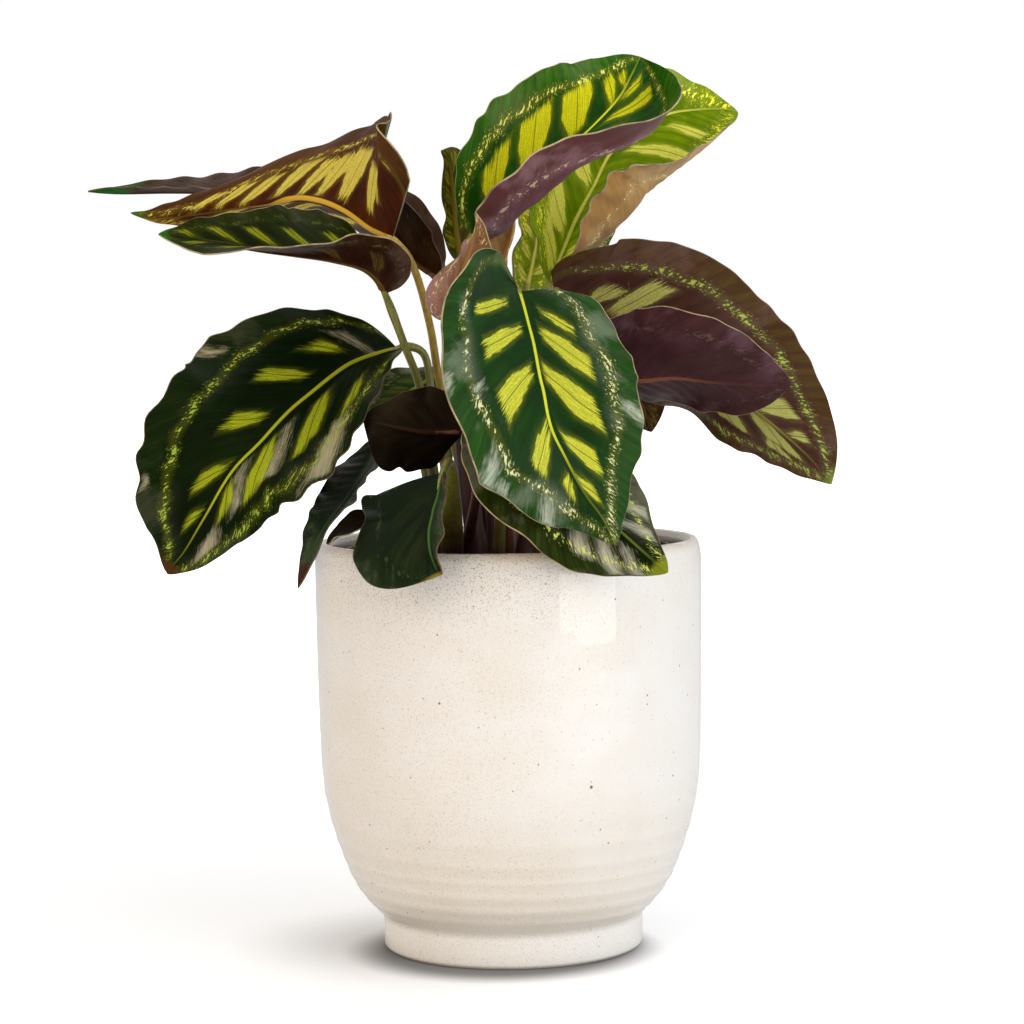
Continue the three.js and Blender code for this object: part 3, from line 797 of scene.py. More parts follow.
class Face(Enum):
    """Finishes of the leaf faces."""

    GREEN = FaceFinish(
        "green_face", (20, 62, 14), (8, 38, 8), (38, 82, 18), (214, 214, 66), (232, 232, 172),
        (204, 208, 56), (190, 196, 174), ring_share=0.85, pale_share=0.2, rib_until=0.5)
    # Brighter greens than the green face: they stand in for light coming through the top leaf from behind,
    # painted light.
    SUNLIT = FaceFinish(
        "sunlit_face", (32, 90, 10), (14, 54, 8), (60, 120, 14), (232, 226, 24), (232, 234, 120),
        (222, 220, 56), (150, 150, 110), pale_share=0.15)
    DEEP = FaceFinish(
        "deep_face", (10, 29, 3), (4, 13, 2), (24, 42, 7), (176, 186, 34), (160, 178, 66), (164, 168, 36),
        (180, 172, 138), pale_share=0.06, flame_share=0.9, softness=1.7, tip=(70, 46, 20),
        tip_start=0.965, gloss=0.06)
    PLAIN = FaceFinish(
        "plain_dark_face", (10, 27, 9), (5, 16, 5), (26, 40, 10), (60, 84, 36), (84, 110, 60),
        (70, 112, 46), (104, 116, 88), flame_share=0.1, ring_share=0.25, rib_share=0.8, pale_share=0.25,
        tip=(122, 106, 30), tip_start=0.972)
    WITHERED = replace(PLAIN, name="withered_face", fringe=(34, 26, 12), tip=(58, 32, 16), tip_start=0.9)
    FRINGED = FaceFinish(
        "fringed_face", (24, 34, 6), (12, 18, 3), (52, 66, 12), (112, 126, 46), (206, 216, 104),
        (104, 124, 44), (200, 196, 170), flame_share=0.2, pale_share=0.18, tip=(122, 130, 30),
        tip_start=0.95, gloss=0.06)
    # Lime greens: the leaf's own colour, brightened to stand in for light coming through it, which is
    # painted light.
    LIME = FaceFinish(
        "lime_face", (142, 168, 5), (80, 108, 3), (136, 166, 8), (250, 240, 104), (250, 246, 66),
        (226, 216, 104), (236, 230, 176), pale_share=0.1, fringe_share=0.5, ring_width=2.2,
        painted_glow=0.15)
    OLIVE = FaceFinish(
        "olive_face", (28, 42, 5), (12, 18, 2), (50, 54, 8), (150, 156, 28), (104, 110, 30), (74, 64, 18),
        (112, 112, 80), flame_share=0.85, ring_share=0.3, pale_share=0.1, tip=(44, 92, 20),
        tip_start=0.955, gloss=0.03)
    TIPPED = FaceFinish(
        "green_tipped_face", (70, 40, 20), (40, 20, 8), (74, 46, 22), (110, 84, 40), (120, 100, 50),
        (96, 60, 30), (110, 84, 60), flame_share=0.2, ring_share=0.2, tip=(24, 84, 14), tip_start=0.88,
        gloss=0.03)
    FADED = FaceFinish(
        "faded_face", (74, 66, 10), (42, 36, 6), (84, 80, 16), (160, 160, 30), (150, 150, 44),
        (110, 96, 24), (130, 124, 70), raggedness=24.0)
    SHADED = FaceFinish(
        "shaded_face", (48, 60, 22), (24, 34, 10), (62, 70, 24), (96, 118, 46), (120, 134, 74),
        (110, 140, 50), (176, 178, 150), pale_share=0.6, flame_share=0.5, ring_share=0.5)
    GOLD_UNDER = FaceFinish(
        "gold_underside", (84, 35, 5), (50, 18, 2), (86, 54, 10), (226, 208, 88), (214, 194, 80),
        (204, 162, 56), (150, 100, 50), pale_share=0.1, tip=(64, 98, 26), tip_start=0.96, rib_until=0.4,
        softness=0.6, roughness=0.5, gloss=0.04)
    MAROON_UNDER = FaceFinish(
        "maroon_underside", (64, 30, 19), (38, 14, 6), (76, 48, 22), (150, 130, 66), (140, 136, 74),
        (104, 78, 30), (132, 104, 96), flame_share=0.3, ring_share=0.4, pale_share=0.35, roughness=0.5)
    PURPLE_UNDER = FaceFinish(
        "purple_underside", (78, 44, 40), (54, 28, 22), (86, 64, 14), (184, 184, 98), (162, 180, 78),
        (118, 104, 42), (114, 86, 84), pale_share=0.35, tip=(122, 142, 50), tip_start=0.975, roughness=0.5)
    PLUM_UNDER = FaceFinish(
        "plum_underside", (70, 36, 44), (46, 20, 24), (70, 38, 40), (90, 60, 60), (150, 124, 112),
        (140, 80, 50), (116, 84, 100), flame_share=0.1, ring_share=0.15, rib_share=0.6, pale_share=0.4,
        rib_until=0.4, roughness=0.5)
    MAUVE_UNDER = FaceFinish(
        "mauve_underside", (118, 82, 92), (88, 48, 50), (82, 40, 28), (176, 150, 140), (214, 194, 156),
        (140, 96, 66), (164, 128, 136), flame_share=0.1, ring_share=0.7, pale_share=0.4, roughness=0.5)
    BLUSH_UNDER = FaceFinish(
        "blush_underside", (150, 110, 80), (108, 70, 40), (156, 118, 56), (196, 166, 120),
        (230, 210, 150), (150, 110, 54), (164, 122, 124), flame_share=0.2, pale_share=0.8, roughness=0.5)
    # Pink and tan undersides: the undersides' colour, lightened to stand in for light coming through from
    # behind, which is painted light.
    PINK_UNDER = FaceFinish(
        "pink_underside", (184, 148, 92), (146, 104, 56), (166, 126, 70), (204, 174, 112),
        (234, 216, 140), (180, 142, 82), (208, 182, 136), flame_share=0.1, ring_share=0.8, pale_share=0.4,
        roughness=0.5)
    TAN_UNDER = FaceFinish(
        "tan_underside", (186, 144, 92), (146, 104, 58), (160, 116, 64), (214, 188, 128), (230, 210, 150),
        (150, 100, 50), (212, 186, 146), flame_share=0.3, ring_share=0.9, pale_share=0.5, roughness=0.55)
    DRY = FaceFinish(
        "dry_face", (24, 12, 6), (12, 6, 2), (34, 19, 8), (60, 38, 20), (74, 50, 28), (46, 27, 14),
        (70, 50, 36), flame_share=0.2, ring_share=0.1, pale_share=0.2, roughness=0.6)


class Rim(Enum):
    """Finishes of the blades' margins."""

    PALE = MarginFinish("pale_margin", (190, 170, 124))
    BROWN = MarginFinish("brown_margin", (112, 88, 56))


class Stem(Enum):
    """Finishes of the stalks."""

    OLIVE = StalkFinish("olive_stalk", (78, 44, 40), (124, 122, 48), (146, 148, 66))
    PALE = StalkFinish("pale_stalk", (112, 74, 44), (196, 188, 92), (214, 204, 112))
    GOLDEN = StalkFinish("golden_stalk", (92, 54, 30), (166, 136, 44), (206, 164, 58))
    BROWN = StalkFinish("brown_stalk", (70, 34, 28), (96, 52, 34), (112, 66, 40), 0.5)


class Half(IntEnum):
    """Halves of a blade, by the sign of the distance from its rib."""

    LEFT = -1
    RIGHT = 1

    @property
    def index(self) -> int:
        """The half's place in a pair."""
        return int(self > 0)


@dataclass(frozen=True)
class Marks:
    """Markings of a blade.

    A flame or a painted sheen, a pale patch painted where the blade catches the light, is its
    place along the rib and its inner and outer end across the half, all as shares, and half its
    width in millimetres. A lean is the slope of the lateral
    veins at the blade's base and how much it grows to the tip. A ring is the share of the half
    width at which it runs, at even stations from the base to the tip.
    """

    left: tuple[Patch, ...]
    right: tuple[Patch, ...]
    lean: tuple[Pair, Pair] = ((0.5, 2.0), (0.5, 2.0))
    ring: tuple[tuple[float, ...], tuple[float, ...]] = (PLAIN_RING, PLAIN_RING)
    # Painted sheen patches of each half: pale patches painted where the blade catches the light.
    painted_sheens: tuple[tuple[Patch, ...], tuple[Patch, ...]] = ((), ())


def regular_marks(half_width: float, ring: tuple[float, ...] = PLAIN_RING) -> Marks:
    """Evenly spaced flames for a leaf whose pattern hardly shows.

    Args:
        half_width: Half the width of a flame in millimetres.
        ring: Shares of the half width at which the ring runs.

    Returns:
        The markings, set alternately on the two halves.
    """
    left, right = (tuple((first + 0.17 * k, 0.1, 0.5, half_width * (1 - 0.12 * k)) for k in range(5))
                   for first in (0.1, 0.16))
    return Marks(left, right, ring=(ring, ring))


EVEN_ROLL = ((0.35, 0.8), (0.35, 0.8))
TIGHT_RIGHT_ROLL = ((0.35, 0.8), (0.3, 0.65))

# Levels between which a stalk stands upright in the potting mix
ROOT_LEVELS = (154, 174)


@dataclass(frozen=True)
class Leaf:
    """Measured form and markings of one leaf, in millimetres and degrees.

    The stalk leaves the mix at its root and goes on in the rib from the blade's base. Values in
    threes and longer rows hold at even stations from the blade's base to its tip.
    """

    name: str
    look: Look
    root: Pair
    stalk: tuple[Point, ...]
    rib: tuple[Point, ...]
    face: tuple[Point, ...]
    width: Pair
    fold: tuple[Triple, Triple]
    wave: Triple
    marks: Marks
    top: Face
    under: Face = Face.MAROON_UNDER
    stem: Stem = Stem.OLIVE
    rim: Rim = Rim.PALE
    outline: Pair = (0.5, 0.85)
    curl: tuple[Triple, Triple] = ((0, 0, 0), (0, 0, 0))
    roll: tuple[Pair, Pair] = EVEN_ROLL
    trim: tuple[tuple[float, ...], tuple[float, ...]] = ((0, 0), (0, 0))
    rib_shift: tuple[float, ...] = (0, 0)
    sheath: Pair = (3.3, 0.0)
    frill: float = 0.8
    scallop: float = 0.5
    fine: bool = False

    @property
    def path(self) -> tuple[Point, ...]:
        """The points from the buried root to the tip."""
        return (*((*self.root, level) for level in ROOT_LEVELS), *self.stalk, *self.rib)


LEAVES: tuple[Leaf, ...] = (
    Leaf(
        "front_leaf", Look.GREEN, root=(6, -20), top=Face.GREEN, fine=True,
        stalk=((17, -32, 225), (14, -56, 257)),
        rib=((6, -72, 288), (11, -84, 272), (20, -100, 240), (28, -105, 224), (34, -107, 211),
             (40, -108, 199), (44, -108, 185)),
        face=((0.3, -0.9, 0.4), (0.2, -1, 0.1), (0, -1, 0.1)), width=(39, 57), outline=(0.34, 0.84),
        fold=((15, 10, -25), (30, 25, -10)), curl=((-40, -15, -10), (30, 0, -15)), wave=(1.5, 3, 0),
        trim=((0, -3, -3, -1, 1, 3, 2, -3, -4), (0, 2, -3, -3, -5, 3, -2, 0, -2)),
        rib_shift=(0, 1.4, 2.8, 6.5, 5.9, 2.4), frill=1.0, scallop=0.6,
        marks=Marks(
            left=((0.06, 0.2, 0.47, 1.6), (0.15, 0.13, 0.55, 3.7), (0.31, 0.07, 0.52, 4.7),
                  (0.54, 0.09, 0.36, 3.7), (0.74, 0.02, 0.18, 2.4)),
            right=((0.05, 0.22, 0.56, 2.3), (0.16, 0.11, 0.51, 3.6), (0.32, 0.08, 0.47, 5.2),
                   (0.53, 0.04, 0.36, 3.8), (0.7, 0.09, 0.22, 2.5)),
            lean=((0.95, 1.8), (0.3, 1.6)),
            ring=((0.58, 0.64, 0.73, 0.72, 0.5, 0.12), (0.76, 0.73, 0.72, 0.64, 0.45, 0.42)),
            painted_sheens=(((0.22, 0.78, 1, 2.4),),
                    ((0.36, 0.71, 0.97, 3.4), (0.42, 0.78, 1, 2.3), (0.61, 0.5, 0.97, 2.8),
                     (0.17, 0.9, 1, 2.5), (0.23, 0.6, 0.7, 1.5))),
        ),
    ),
    Leaf(
        "left_leaf", Look.DARK, root=(-22, 6), top=Face.DEEP, rim=Rim.BROWN, fine=True,
        stalk=((-32, 2, 241), (-36, 3, 262), (-42, 0, 265)),
        rib=((-47, -6, 264), (-67, -28, 256), (-83, -44, 241), (-99, -56, 227), (-114, -58, 213),
             (-127, -58, 194), (-136, -54, 179), (-144, -52, 171)),
        face=((-0.1, -0.8, 0.6), (-0.2, -0.9, 0.4), (-0.2, -1, 0.1)), width=(29, 51), outline=(0.57, 0.76),
        fold=((25, 0, -20), (20, 5, 20)), curl=((50, 0, -35), (-10, -10, 15)), wave=(1.5, 3, 1),
        trim=((0, -5, -2, -2, 1, -1, 0, 1, -4), (0, -5, 2, 7, 4, 3, 2, 2, 4)),
        rib_shift=(1.5, 2.5, 4.6, 2.2, 1.1, 4), scallop=1.5,
        marks=Marks(
            left=((0.08, 0.44, 0.62, 2), (0.26, 0.17, 0.5, 3.6), (0.49, 0.1, 0.5, 3.8),
                  (0.67, 0.08, 0.3, 2.8)),
            right=((0.15, 0.2, 0.41, 2.8), (0.26, 0.16, 0.41, 3.8), (0.44, 0.13, 0.34, 3.8),
                   (0.63, 0.07, 0.26, 2.6), (0.77, 0.08, 0.2, 2)),
            lean=((2, 0.4), (0.3, 2.2)),
            ring=((0.72, 0.72, 0.72, 0.75, 0.78, 0.7), (0.7, 0.71, 0.66, 0.68, 0.59, 0.36)),
            painted_sheens=(((0.12, 0.64, 0.94, 4.6), (0.41, 0.12, 0.48, 2), (0.6, 0.07, 0.44, 1.6),
                     (0.77, 0.3, 0.6, 4.4)),
                    ((0.09, 0.02, 0.5, 1.6), (0.19, 0.8, 1, 2.4), (0.53, 0.86, 0.95, 1.8))),
        ),
    ),
    Leaf(
        "upper_left_leaf", Look.MAROON, root=(-29, -8), top=Face.OLIVE, fine=True,
        stalk=((-37, -19, 247), (-43, -29, 266), (-49, -29, 283)),
        rib=((-51, -27, 288), (-53, -30, 293), (-59, -36, 299), (-73, -45, 303), (-87, -52, 305),
             (-102, -56, 307), (-118, -58, 310), (-144, -58, 314)),
        face=((0.2, 0, 1), (-0.3, -0.3, 0.9), (0, -0.5, 0.9)), width=(27, 27),
        fold=((40, 20, 0), (40, 35, 20)), curl=((0, 0, 0), (0, -5, -10)), wave=(1, 3, 2),
        trim=((0, 0), (0, 4, 7, 6, 2, 0, 0, 0, 0)), scallop=1.0, marks=regular_marks(2.4),
    ),
    Leaf(
        "striped_leaf", Look.STRIPED, root=(-12, 14), top=Face.GREEN, under=Face.GOLD_UNDER,
        stem=Stem.GOLDEN, fine=True, stalk=((-29, 10, 248), (-33, 3, 275), (-40, -8, 301)),
        rib=((-48, -10, 312), (-58, 0, 317), (-70, 12, 324), (-81, 22, 329), (-91, 30, 331),
             (-114, 44, 330), (-138, 52, 329), (-161, 56, 326), (-170, 58, 327)),
        face=((0.6, 0.8, -0.1), (0.3, 0.9, 0.3), (0.1, 1, 0.3)), width=(57, 31), outline=(0.19, 0.96),
        fold=((-20, 60, 70), (60, 55, 20)), curl=((-10, 20, 65), (0, 5, -5)), wave=(1, 3, 0),
        trim=((-14, -14, -9, -5, -7, -7, -4, -4, -2), (0, 0, 2, 5, 7, 7, 5, 1, 0)),
        rib_shift=(0, -1.5, -0.7, 1.5, 5, 4),
        marks=Marks(
            left=((0.02, 0.28, 0.5, 2.2), (0.1, 0.14, 0.52, 5), (0.26, 0.1, 0.62, 6.5),
                  (0.36, 0.06, 0.55, 3.8), (0.43, 0.05, 0.5, 3.4), (0.53, 0.1, 0.56, 3.6),
                  (0.64, 0.06, 0.5, 3), (0.73, 0.08, 0.5, 2.4), (0.81, 0.08, 0.44, 1.8)),
            right=((0.15, 0.1, 0.5, 3), (0.3, 0.1, 0.8, 3), (0.43, 0.1, 0.8, 3), (0.6, 0.1, 0.7, 3)),
            lean=((0.6, -2.2), (1, 5)),
            ring=((0.7, 0.84, 0.65, 0.6, 0.25, 0.2), (0.9, 0.9, 0.9, 0.9, 0.7, 0.5)),
        ),
    ),
    Leaf(
        "far_left_leaf", Look.MAROON, root=(-16, 26), top=Face.TIPPED, under=Face.TIPPED, stem=Stem.BROWN,
        rim=Rim.BROWN, fine=True, stalk=((-24, 34, 249), (-25, 36, 276)),
        rib=((-31, 40, 295), (-40, 46, 303), (-49, 54, 315), (-66, 66, 327), (-94, 82, 334),
             (-128, 94, 337), (-157, 100, 338), (-181, 104, 338), (-196, 106, 339)),
        face=((0.2, 0.3, 0.9), (0, 0, 1), (0, 0, 1)), width=(24, 35), outline=(0.47, 0.85),
        fold=((65, 0, 20), (25, 25, 20)), curl=((5, -20, 5), (0, 5, 0)), wave=(1.5, 3, 2),
        marks=regular_marks(2),
    ),
    Leaf(
        "top_leaf", Look.GREEN, root=(-6, 6), top=Face.SUNLIT, under=Face.MAUVE_UNDER, fine=True,
        stalk=((-9, 6, 232), (-9, 6, 272), (-10, 4, 302)),
        rib=((-11, 0, 313), (1, -8, 326), (16, -17, 338), (39, -23, 358), (51, -22, 371), (56, -20, 380),
             (60, -17, 388)),
        face=((0, -1, 0.2), (-0.1, -1, 0.3), (0, -0.9, 0.3)), width=(38, 54), outline=(0.55, 0.55),
        fold=((30, 10, -5), (45, 50, -25)), curl=((10, -15, 0), (70, 65, 100)), roll=TIGHT_RIGHT_ROLL,
        wave=(1, 3, 0), trim=((-4, 0, 0, 1, -1, -1, -2, 0, -3), (0, 0, 0, 0, 0, 0, 4, 13, 4)), scallop=1.0,
        marks=Marks(
            left=((0.12, 0.22, 0.55, 5), (0.32, 0.12, 0.58, 6.5), (0.56, 0.09, 0.53, 6.8),
                  (0.77, 0.03, 0.36, 2.6), (0.86, 0.02, 0.2, 1.7)),
            right=((0.1, 0.1, 0.5, 4), (0.3, 0.1, 0.5, 6), (0.5, 0.1, 0.2, 3), (0.66, 0.06, 0.28, 2.3),
                   (0.8, 0.02, 0.13, 1.6)),
            lean=((1, 0.2), (0.5, 2.8)),
            ring=((0.78, 0.75, 0.72, 0.7, 0.56, 0.36), (0.73, 0.73, 0.73, 0.6, 0.5, 0.36)),
        ),
    ),
    Leaf(
        "bright_leaf", Look.BRIGHT, root=(14, 10), top=Face.LIME, under=Face.PINK_UNDER, stem=Stem.PALE,
        fine=True, stalk=((6, 18, 231), (14, 26, 267)),
        rib=((21, 32, 292), (28, 34, 307), (41, 33, 334), (50, 31, 349), (66, 28, 359), (88, 24, 364),
             (105, 22, 366)),
        face=((0, -1, 0.2), (-0.4, -0.9, -0.2), (0.1, -1, 0.3)), width=(28, 61), outline=(0.55, 0.81),
        fold=((45, 15, 0), (60, 20, -5)), curl=((20, 5, 0), (45, 105, 90)), roll=TIGHT_RIGHT_ROLL,
        wave=(1.5, 3, 1), trim=((0, 0, 0, 0, 2, 8, 8, 6, 2), (0, 0)),
        rib_shift=(-2.5, -2.3, -0.6, -2, -6, -6), frill=1.5, scallop=1.1,
        marks=Marks(
            left=((0.05, 0.12, 0.62, 4), (0.17, 0.15, 0.62, 4.5), (0.37, 0.1, 0.5, 4), (0.6, 0.1, 0.5, 4)),
            right=((0.1, 0.1, 0.5, 3.5), (0.3, 0.1, 0.5, 4), (0.52, 0.08, 0.5, 3), (0.68, 0.1, 0.4, 2)),
            lean=((1.3, -1), (0.5, 2)),
        ),
    ),
    Leaf(
        "narrow_leaf", Look.BRIGHT, root=(4, 24), top=Face.LIME, under=Face.PINK_UNDER, stem=Stem.PALE,
        stalk=((4, 32, 231), (7, 40, 262)),
        rib=((10, 46, 288), (13, 47, 302), (15, 47, 314), (13, 47, 328), (10, 48, 339)),
        face=((0.3, -0.9, 0.2),) * 3, width=(15, 16), fold=((5, 15, -15), (0, 0, 0)),
        curl=((65, 70, 55), (0, 0, 0)), wave=(0.6, 2, 1), marks=regular_marks(2, (0.6, 0.6, 0.5)),
    ),
    Leaf(
        "rolled_leaf", Look.STRIPED, root=(-8, 22), top=Face.FADED, under=Face.FADED, stem=Stem.BROWN,
        stalk=((-16, 20, 241), (-17, 20, 276)),
        rib=((-19, 20, 302), (-21, 20, 316), (-22, 20, 334), (-24, 18, 347), (-27, 16, 351)),
        face=((-0.3, 0.9, 0.2),) * 3, width=(26, 7), fold=((10, 10, 10), (30, 40, 30)),
        curl=((40, 40, 40), (60, 65, 60)), wave=(0.6, 2, 1), marks=regular_marks(2.5),
    ),
    Leaf(
        "mauve_leaf", Look.MAUVE, root=(-14, -8), top=Face.GREEN, under=Face.BLUSH_UNDER, stem=Stem.BROWN,
        stalk=((-20, -16, 233), (-24, -25, 259)),
        rib=((-25, -32, 276), (-20, -38, 289), (-14, -46, 304), (-11, -50, 314), (-11, -52, 321)),
        face=((0.2, 1, 0.1), (0.2, 1, 0.1), (0.3, 0.9, 0)), width=(15, 14), outline=(0.48, 0.86),
        fold=((10, 5, -30), (-20, 50, 60)), curl=((20, 20, 10), (10, 30, 45)), wave=(0.4, 2, 1),
        sheath=(4.4, 0.3), marks=regular_marks(2),
    ),
    Leaf(
        "tan_leaf", Look.TAN, root=(2, 4), top=Face.GREEN, under=Face.TAN_UNDER, stem=Stem.GOLDEN,
        stalk=((-3, 6, 232), (-2, 8, 267)),
        rib=((-3, 10, 286), (-1, 10, 300), (3, 8, 313), (5, 6, 322), (6, 6, 327)),
        face=((0.1, 1, 0.1), (0, 1, 0.1), (0, 1, 0.1)), width=(2, 18), fold=((10, 10, 10), (65, 35, 5)),
        curl=((30, 30, 30), (75, 40, 30)), wave=(0.3, 2, 1), marks=regular_marks(2),
    ),
    Leaf(
        "right_leaf", Look.MAROON, root=(18, 0), top=Face.DEEP, under=Face.PURPLE_UNDER, rim=Rim.BROWN,
        fine=True, stalk=((13, 6, 232), (18, 8, 267)),
        rib=((22, 5, 289), (35, 2, 282), (51, 1, 272), (68, 0, 262), (86, 2, 251), (112, 10, 233),
             (135, 22, 213), (146, 30, 200)),
        face=((0, 0.9, 0.4), (0.1, 0.9, 0.4), (0.3, 0.9, 0.3)), width=(35, 46), outline=(0.47, 0.88),
        fold=((5, 25, -5), (5, 25, 15)), curl=((0, 20, -10), (0, 10, -5)), wave=(2, 4, 0),
        marks=Marks(
            left=((0.2, 0.1, 0.5, 3), (0.4, 0.1, 0.5, 4), (0.6, 0.35, 0.52, 3), (0.66, 0.03, 0.32, 4)),
            right=((0.1, 0.08, 0.36, 3.4), (0.16, 0.08, 0.56, 4.5), (0.4, 0.08, 0.5, 5),
                   (0.65, 0.05, 0.36, 4.5), (0.78, 0.06, 0.25, 2.5)),
            lean=((1, 5), (0.4, 1.5)),
            ring=((0.72, 0.72, 0.72, 0.76, 0.7, 0.4), (0.5, 0.68, 0.72, 0.71, 0.55, 0.4)),
        ),
    ),
    Leaf(
        "right_small_leaf", Look.MAUVE, root=(16, -12), top=Face.DEEP, under=Face.PLUM_UNDER,
        stem=Stem.BROWN, fine=True, stalk=((17, -22, 211), (27, -30, 237)),
        rib=((36, -34, 247), (46, -36, 250), (57, -38, 250), (72, -38, 251), (88, -36, 249),
             (109, -30, 247), (123, -24, 247)),
        face=((0, 0.9, 0.4), (0, 0.9, 0.5), (0, 0.9, 0.5)), width=(30, 33), outline=(0.49, 0.86),
        fold=((50, 35, -10), (15, -10, -10)), curl=((10, 5, -10), (20, 25, 0)), wave=(1, 3, 0),
        marks=regular_marks(3.5),
    ),
    Leaf(
        "back_leaf", Look.GREEN, root=(16, 26), top=Face.GREEN, stalk=((10, 34, 231), (14, 44, 262)),
        rib=((19, 60, 285), (26, 66, 294), (35, 72, 304), (45, 76, 313), (52, 78, 317)),
        face=((-0.3, -0.9, 0.4),) * 3, width=(16, 12), fold=((0, 0, 0), (0, 5, -5)), wave=(0.6, 2, 1),
        marks=regular_marks(2.5),
    ),
    Leaf(
        "back_right_leaf", Look.MAROON, root=(24, 14), top=Face.DEEP, stalk=((24, 30, 217), (34, 38, 244)),
        rib=((43, 44, 259), (53, 46, 250), (61, 46, 239), (66, 44, 224)), face=((0.1, 0.9, 0.4),) * 3,
        width=(16, 16), fold=((5, 5, 5), (5, 5, 5)), wave=(0.6, 2, 1), marks=regular_marks(2.5),
    ),
    Leaf(
        "lower_front_leaf", Look.DARK, root=(-4, -28), top=Face.FRINGED, fine=True,
        stalk=((-3, -36, 199), (-6, -46, 221)),
        rib=((-6, -52, 229), (6, -64, 222), (22, -79, 209), (36, -89, 198), (50, -97, 186),
             (59, -100, 178), (65, -102, 173)),
        face=((0.1, -0.6, 0.8), (0.1, -0.8, 0.6), (-0.1, -0.8, 0.5)), width=(32, 40), outline=(0.46, 0.87),
        fold=((5, -10, -25), (35, 30, -40)), curl=((0, -5, -10), (-15, -50, -70)), wave=(1.5, 3, 2),
        marks=Marks(
            left=((0.3, 0.1, 0.5, 3), (0.5, 0.1, 0.5, 3)), right=((0.3, 0.1, 0.5, 3), (0.5, 0.1, 0.5, 3)),
            painted_sheens=(((0.5, 0.1, 0.9, 3), (0.66, 0.1, 0.8, 3)),
                    ((0.46, 0.1, 0.7, 3.4), (0.6, 0.1, 0.9, 3), (0.74, 0.15, 0.9, 2))),
        ),
    ),
    Leaf(
        "hanging_leaf", Look.DARK, root=(-24, -22), top=Face.PLAIN, rim=Rim.BROWN, fine=True,
        stalk=((-24, -46, 200), (-23, -68, 214), (-24, -82, 218)),
        rib=((-26, -90, 214), (-28, -95, 206), (-30, -97, 198), (-31, -98, 189), (-30, -98, 181),
             (-27, -97, 173)),
        face=((-0.2, -1, 0.1),) * 3, width=(9, 45), outline=(0.37, 0.56),
        fold=((60, 40, 60), (-20, -30, 20)), curl=((10, 0, 10), (-20, -15, 5)), wave=(1, 3, 0),
        trim=((-6, -5, -3, -2, -1, -1, -2, -5, -4), (-2, -7, -6, -1, 0, -3, 0, 2, 1)),
        rib_shift=(0, -1, 0, 1, 1.3, 3), sheath=(5.0, 0.3), scallop=0.8, marks=regular_marks(3),
    ),
    Leaf(
        "dark_leaf", Look.BROWN, root=(-18, -16), top=Face.DEEP, under=Face.DRY, stem=Stem.BROWN,
        rim=Rim.BROWN, stalk=((-13, -33, 204), (-13, -44, 225)),
        rib=((-17, -47, 229), (-35, -53, 230), (-46, -54, 232), (-56, -52, 234), (-60, -50, 234)),
        face=((0, 0.9, 0.3), (0, 1, 0.3), (0, 1, 0.2)), width=(19, 29), fold=((10, 15, 15), (30, 30, -35)),
        curl=((0, 5, 5), (10, 10, -15)), wave=(0.8, 3, 0), marks=regular_marks(2.5),
    ),
    Leaf(
        "shaded_leaf", Look.DARK, root=(-28, 16), top=Face.SHADED, stalk=((-26, 30, 222), (-27, 34, 240)),
        rib=((-30, 36, 251), (-37, 36, 248), (-46, 34, 242), (-55, 30, 235), (-63, 26, 227)),
        face=((-0.2, -0.9, 0.3),) * 3, width=(18, 14), outline=(0.51, 0.85), fold=((0, 0, 0), (-30, 5, 0)),
        curl=((0, 0, 0), (-10, 0, 0)), wave=(0.8, 3, 0), marks=regular_marks(2.5),
    ),
    Leaf(
        "folded_leaf", Look.DARK, root=(-34, -4), top=Face.WITHERED, rim=Rim.BROWN,
        stalk=((-35, -4, 206), (-41, -2, 224)),
        rib=((-51, -8, 225), (-60, -28, 213), (-68, -51, 201), (-77, -77, 189), (-82, -88, 178),
             (-86, -92, 168)),
        face=((-0.4, -0.8, 0.4), (-0.4, -0.8, 0.4), (-0.4, -0.9, 0.3)), width=(10, 12),
        outline=(0.49, 0.87), fold=((30, 30, 35), (10, 35, 0)), curl=((-5, -10, -10), (0, 15, -5)),
        wave=(1, 3, 0), marks=regular_marks(3),
    ),
    Leaf(
        "dried_leaf", Look.BROWN, root=(-44, -20), top=Face.DRY, under=Face.DRY, stem=Stem.BROWN,
        stalk=((-47, -34, 187),),
        rib=((-54, -44, 191), (-60, -48, 192), (-67, -48, 189), (-72, -46, 186), (-77, -44, 182)),
        face=((0, -0.6, 0.8),) * 3, width=(7, 6), fold=((15, 25, 30), (15, 25, 30)), wave=(0.4, 3, 0),
        marks=regular_marks(1.5),
    ),
)


# Form of a leaf


